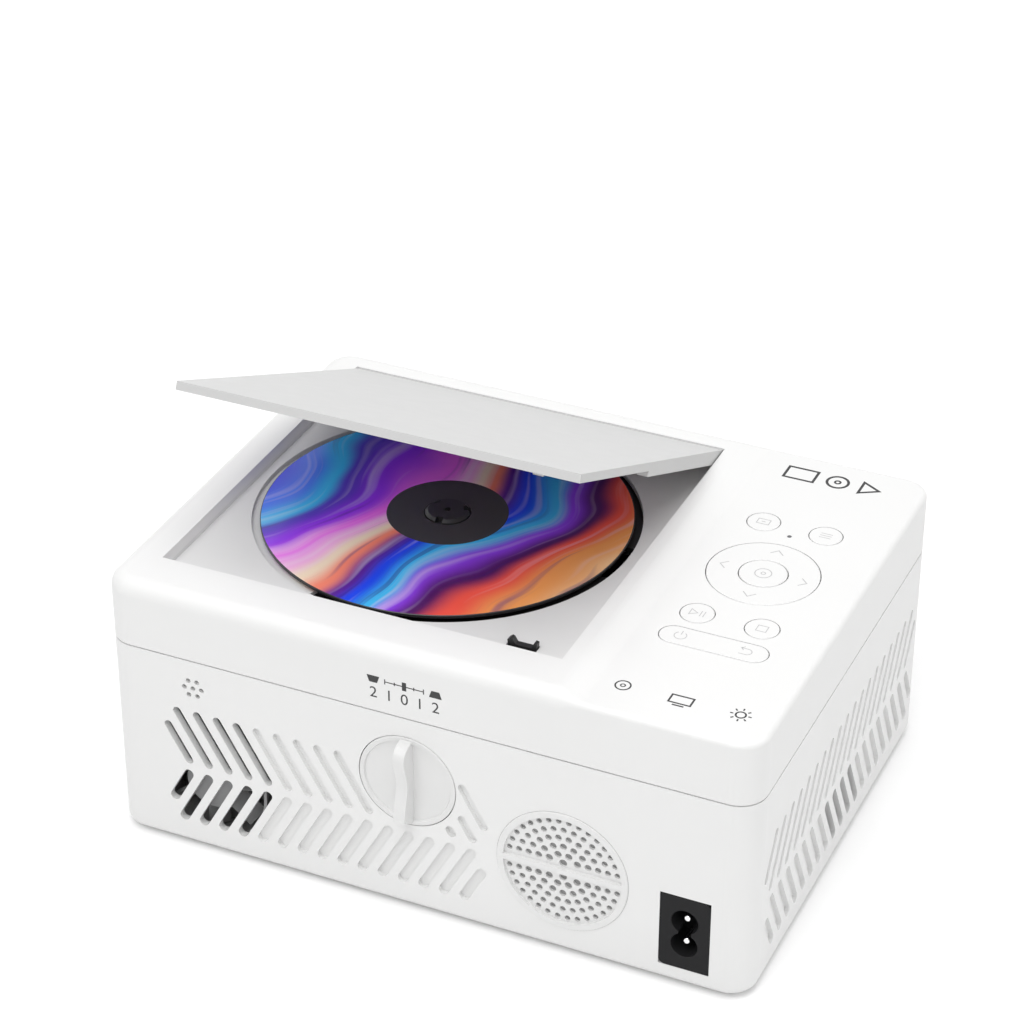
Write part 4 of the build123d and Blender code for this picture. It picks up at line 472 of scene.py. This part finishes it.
def key_symbols():
    left, right = KEYS_X - KEY_DX, KEYS_X + KEY_DX
    symbol("source_symbol", "source", left, UPPER_Y,
           [box(-2.0, -1.4, 2.0, 1.4)], [[(-0.7, 0.0), (0.7, 0.0)]])
    symbol("menu_symbol", "menu", right, UPPER_Y,
           [], [[(-1.9, v), (1.9, v)] for v in (1.2, 0.0, -1.2)])
    symbol("play_symbol", "play", left, LOWER_Y,
           [[(-2.3, -1.5), (0.1, 0.0), (-2.3, 1.5)]], [[(u, -1.5), (u, 1.5)] for u in (1.1, 2.2)])
    symbol("stop_symbol", "stop", right, LOWER_Y, [box(-1.6, -1.5, 1.6, 1.5)], [])
    symbol("centre_symbol", "ok", KEYS_X, PAD_Y, [ring(2.6, 36), ring(0.7, 16)], [], BOLD_KEY_LINE)
    tip = [(-2.1, 12.0), (0.0, 14.2), (2.1, 12.0)]
    symbol("direction_symbols", "dpad", KEYS_X, PAD_Y,
           [], [turned(tip, 90 * k) for k in range(4)], BOLD_KEY_LINE)
    bend = arc(10.6, 0.0, 1.5, 90, -90, 14)[1:]
    symbol("power_symbols", "power", KEYS_X, ROCKER_Y, [], [
        arc(-10.6, 0.0, 1.9, 125, 415, 26), [(-10.6, 0.5), (-10.6, 2.5)],
        [(8.4, 1.5), (10.6, 1.5)] + bend + [(8.4, -1.5)], [(9.3, 2.4), (8.4, 1.5), (9.3, 0.6)]])


key_symbols()


# ------------------------------------------------------------------ printed marks
def number(text, name, cx):
    data = bpy.data.curves.new(name, "FONT")
    data.body = text
    data.size = NUMBER_SIZE * MM
    data.align_x = "CENTER"
    data.align_y = "CENTER"
    data.extrude = NUMBER_HALF_THICK
    flat = bpy.data.objects.new(name, data)
    bpy.context.scene.collection.objects.link(flat)
    bpy.context.view_layer.update()
    mesh = bpy.data.meshes.new_from_object(flat)
    bpy.data.objects.remove(flat)
    place = Matrix.Translation((cx * MM, (REAR_Y - NUMBER_PROUD) * MM, NUMBER_Z * MM))
    mesh.transform(place @ Matrix.Rotation(math.pi / 2, 4, "X"))
    add_piece(name, mesh, made["ink_black"], "case")


def tilt_scale():
    """Scale for the tilt knob: a rule with a centre mark, a shape at each end, numbers under it."""
    bm = bmesh.new()
    place = on_rear(SCALE_X, SCALE_Z)
    ribbon(bm, [(-SCALE_HALF, 0.0), (SCALE_HALF, 0.0)], SCALE_LINE, place)
    for u, tall in ((-SCALE_HALF, 0.9), (-3.2, 0.6), (3.2, 0.6), (SCALE_HALF, 0.9)):
        ribbon(bm, [(u, -tall), (u, tall)], SCALE_LINE, place, 0.034)
    plate(bm, box(-0.7, -1.5, 0.7, 1.5), place, 0.038)
    plate(bm, [(-11.6, -1.2), (-9.0, -1.2), (-8.2, 1.2), (-12.4, 1.2)], place)
    plate(bm, [(8.2, -1.2), (12.4, -1.2), (11.6, 1.2), (9.0, 1.2)], place)
    to_object(bm, "tilt_scale", made["ink_black"], "case")
    for text, u in (("2", -10.3), ("1", -5.1), ("0", 0.0), ("1", 5.1), ("2", 10.3)):
        name = "tilt_number_%s_%s" % (text, "left" if u < 0 else "right")
        number(text, name, SCALE_X + u)


def pictograms():
    # In front of the keys: a disc, a screen and a lamp.
    bm = bmesh.new()
    place = on_top(60.0, -66.3, PANEL_Z)
    ribbon(bm, ring(2.3, 36), 0.5, place, closed=True)
    ribbon(bm, ring(0.7, 16), 0.4, place, closed=True)
    place = on_top(78.3, -66.3, PANEL_Z)
    ribbon(bm, box(-3.4, -1.9, 3.4, 1.9), 0.6, place, closed=True)
    ribbon(bm, [(-1.8, -3.0), (1.8, -3.0)], 0.6, place)
    place = on_top(96.6, -66.1, PANEL_Z)
    ribbon(bm, ring(1.5, 28), 0.55, place, closed=True)
    for k in range(8):
        ribbon(bm, turned([(2.3, 0.0), (3.3, 0.0)], 45 * k), 0.5, place)
    to_object(bm, "panel_pictograms", made["ink_black"], "case")
    # Behind the keys: outlines of a rectangle, a disc and a triangle.
    bm = bmesh.new()
    place = on_top(77.8, 68.3, PANEL_Z)
    ribbon(bm, box(-16.0, -3.4, -6.0, 3.4), 0.9, place, closed=True)
    ribbon(bm, ring(3.5, 40, 1.5), 0.9, place, closed=True)
    ribbon(bm, ring(0.9, 20, 1.5), 0.7, place, closed=True)
    ribbon(bm, [(9.5, -3.5), (15.5, 0.0), (9.5, 3.5)], 0.9, place, closed=True)
    to_object(bm, "rear_pictograms", made["ink_black"], "case")


tilt_scale()
pictograms()


# ------------------------------------------------------------------ speaker cloth
def speaker_cloth():
    """Pale dust cloth close behind the grille's holes, and a dark ring round the grille: partly its
    parting line, partly painted shade of the proud ring.
    """
    bm = bmesh.new()
    plate(bm, ring(CLOTH_R, 64), behind_grille, CLOTH_THICK)
    to_object(bm, "speaker_cloth", made["dust_cloth"], "case")
    # The dark ring is partly a real parting line and partly painted shade, standing in for the shadow
    # the proud grille ring would cast.
    bm = bmesh.new()
    ribbon(bm, ring(PARTING_AND_SHADE_R, 128), PARTING_AND_SHADE_WIDTH, on_rear(SPEAKER_X, SPEAKER_Z),
           PARTING_AND_SHADE_HIGH, closed=True)
    to_object(bm, "speaker_parting_and_shade_line", made["key_line"], "case")


speaker_cloth()


# ------------------------------------------------------------------ stage and light
def stage():
    bm = bmesh.new()
    bmesh.ops.create_grid(bm, x_segments=1, y_segments=1, size=FLOOR_HALF)
    data = bpy.data.meshes.new("floor")
    bm.to_mesh(data)
    bm.free()
    floor = bpy.data.objects.new("floor", data)
    material, tree, shader = new_material("floor_white")
    place = coords(tree)
    tone = ramp(tree, noise(tree, place, 3.0), [(0.3, (0.93, 0.93, 0.93, 1)),
                                                (0.7, (0.94, 0.94, 0.94, 1))])
    tree.links.new(tone, shader.inputs["Base Color"])
    # Well away from the object and its shadow the floor goes over to the white of the backdrop.
    away = maths(tree, "MULTIPLY_ADD", vector_maths(tree, "LENGTH", place), FADE_GAIN, FADE_SHIFT,
                 clamp=True)
    glow = maths(tree, "MULTIPLY_ADD", away, FAR_GLOW, FLOOR_GLOW)
    shader.inputs["Emission Color"].default_value = WHITE
    tree.links.new(maths(tree, "MULTIPLY", seen_plainly(tree), glow),
                   shader.inputs["Emission Strength"])
    shader.inputs["Roughness"].default_value = 0.9
    shader.inputs["Specular IOR Level"].default_value = 0.1
    data.materials.append(material)
    bpy.context.scene.collection.objects.link(floor)


def area(name, place, size, power):
    data = bpy.data.lights.new(name, "AREA")
    data.shape = "RECTANGLE"
    data.size, data.size_y = size
    data.energy = power
    lamp = bpy.data.objects.new(name, data)
    lamp.location = place
    aim = Vector(LAMP_TARGET) - Vector(place)
    lamp.rotation_euler = aim.to_track_quat("-Z", "Y").to_euler()
    bpy.context.scene.collection.objects.link(lamp)


def lights():
    world = bpy.data.worlds.new("studio")
    bpy.context.scene.world = world
    world.use_nodes = True
    tree = world.node_tree
    tree.nodes.clear()
    output = tree.nodes.new("ShaderNodeOutputWorld")
    # The light keeps the node's own light grey; what is seen of the world is plain white.
    plain = tree.nodes.new("ShaderNodeBackground")
    plain.inputs["Strength"].default_value = WORLD_LIGHT
    white = tree.nodes.new("ShaderNodeBackground")
    white.inputs["Color"].default_value = WHITE
    white.inputs["Strength"].default_value = WORLD_SEEN
    join = tree.nodes.new("ShaderNodeMixShader")
    tree.links.new(seen_plainly(tree), join.inputs[0])
    tree.links.new(plain.outputs[0], join.inputs[1])
    tree.links.new(white.outputs[0], join.inputs[2])
    tree.links.new(join.outputs[0], output.inputs["Surface"])
    for lamp in LAMPS:
        area(*lamp)


stage()
lights()
bpy.context.scene.view_settings.view_transform = "Standard"
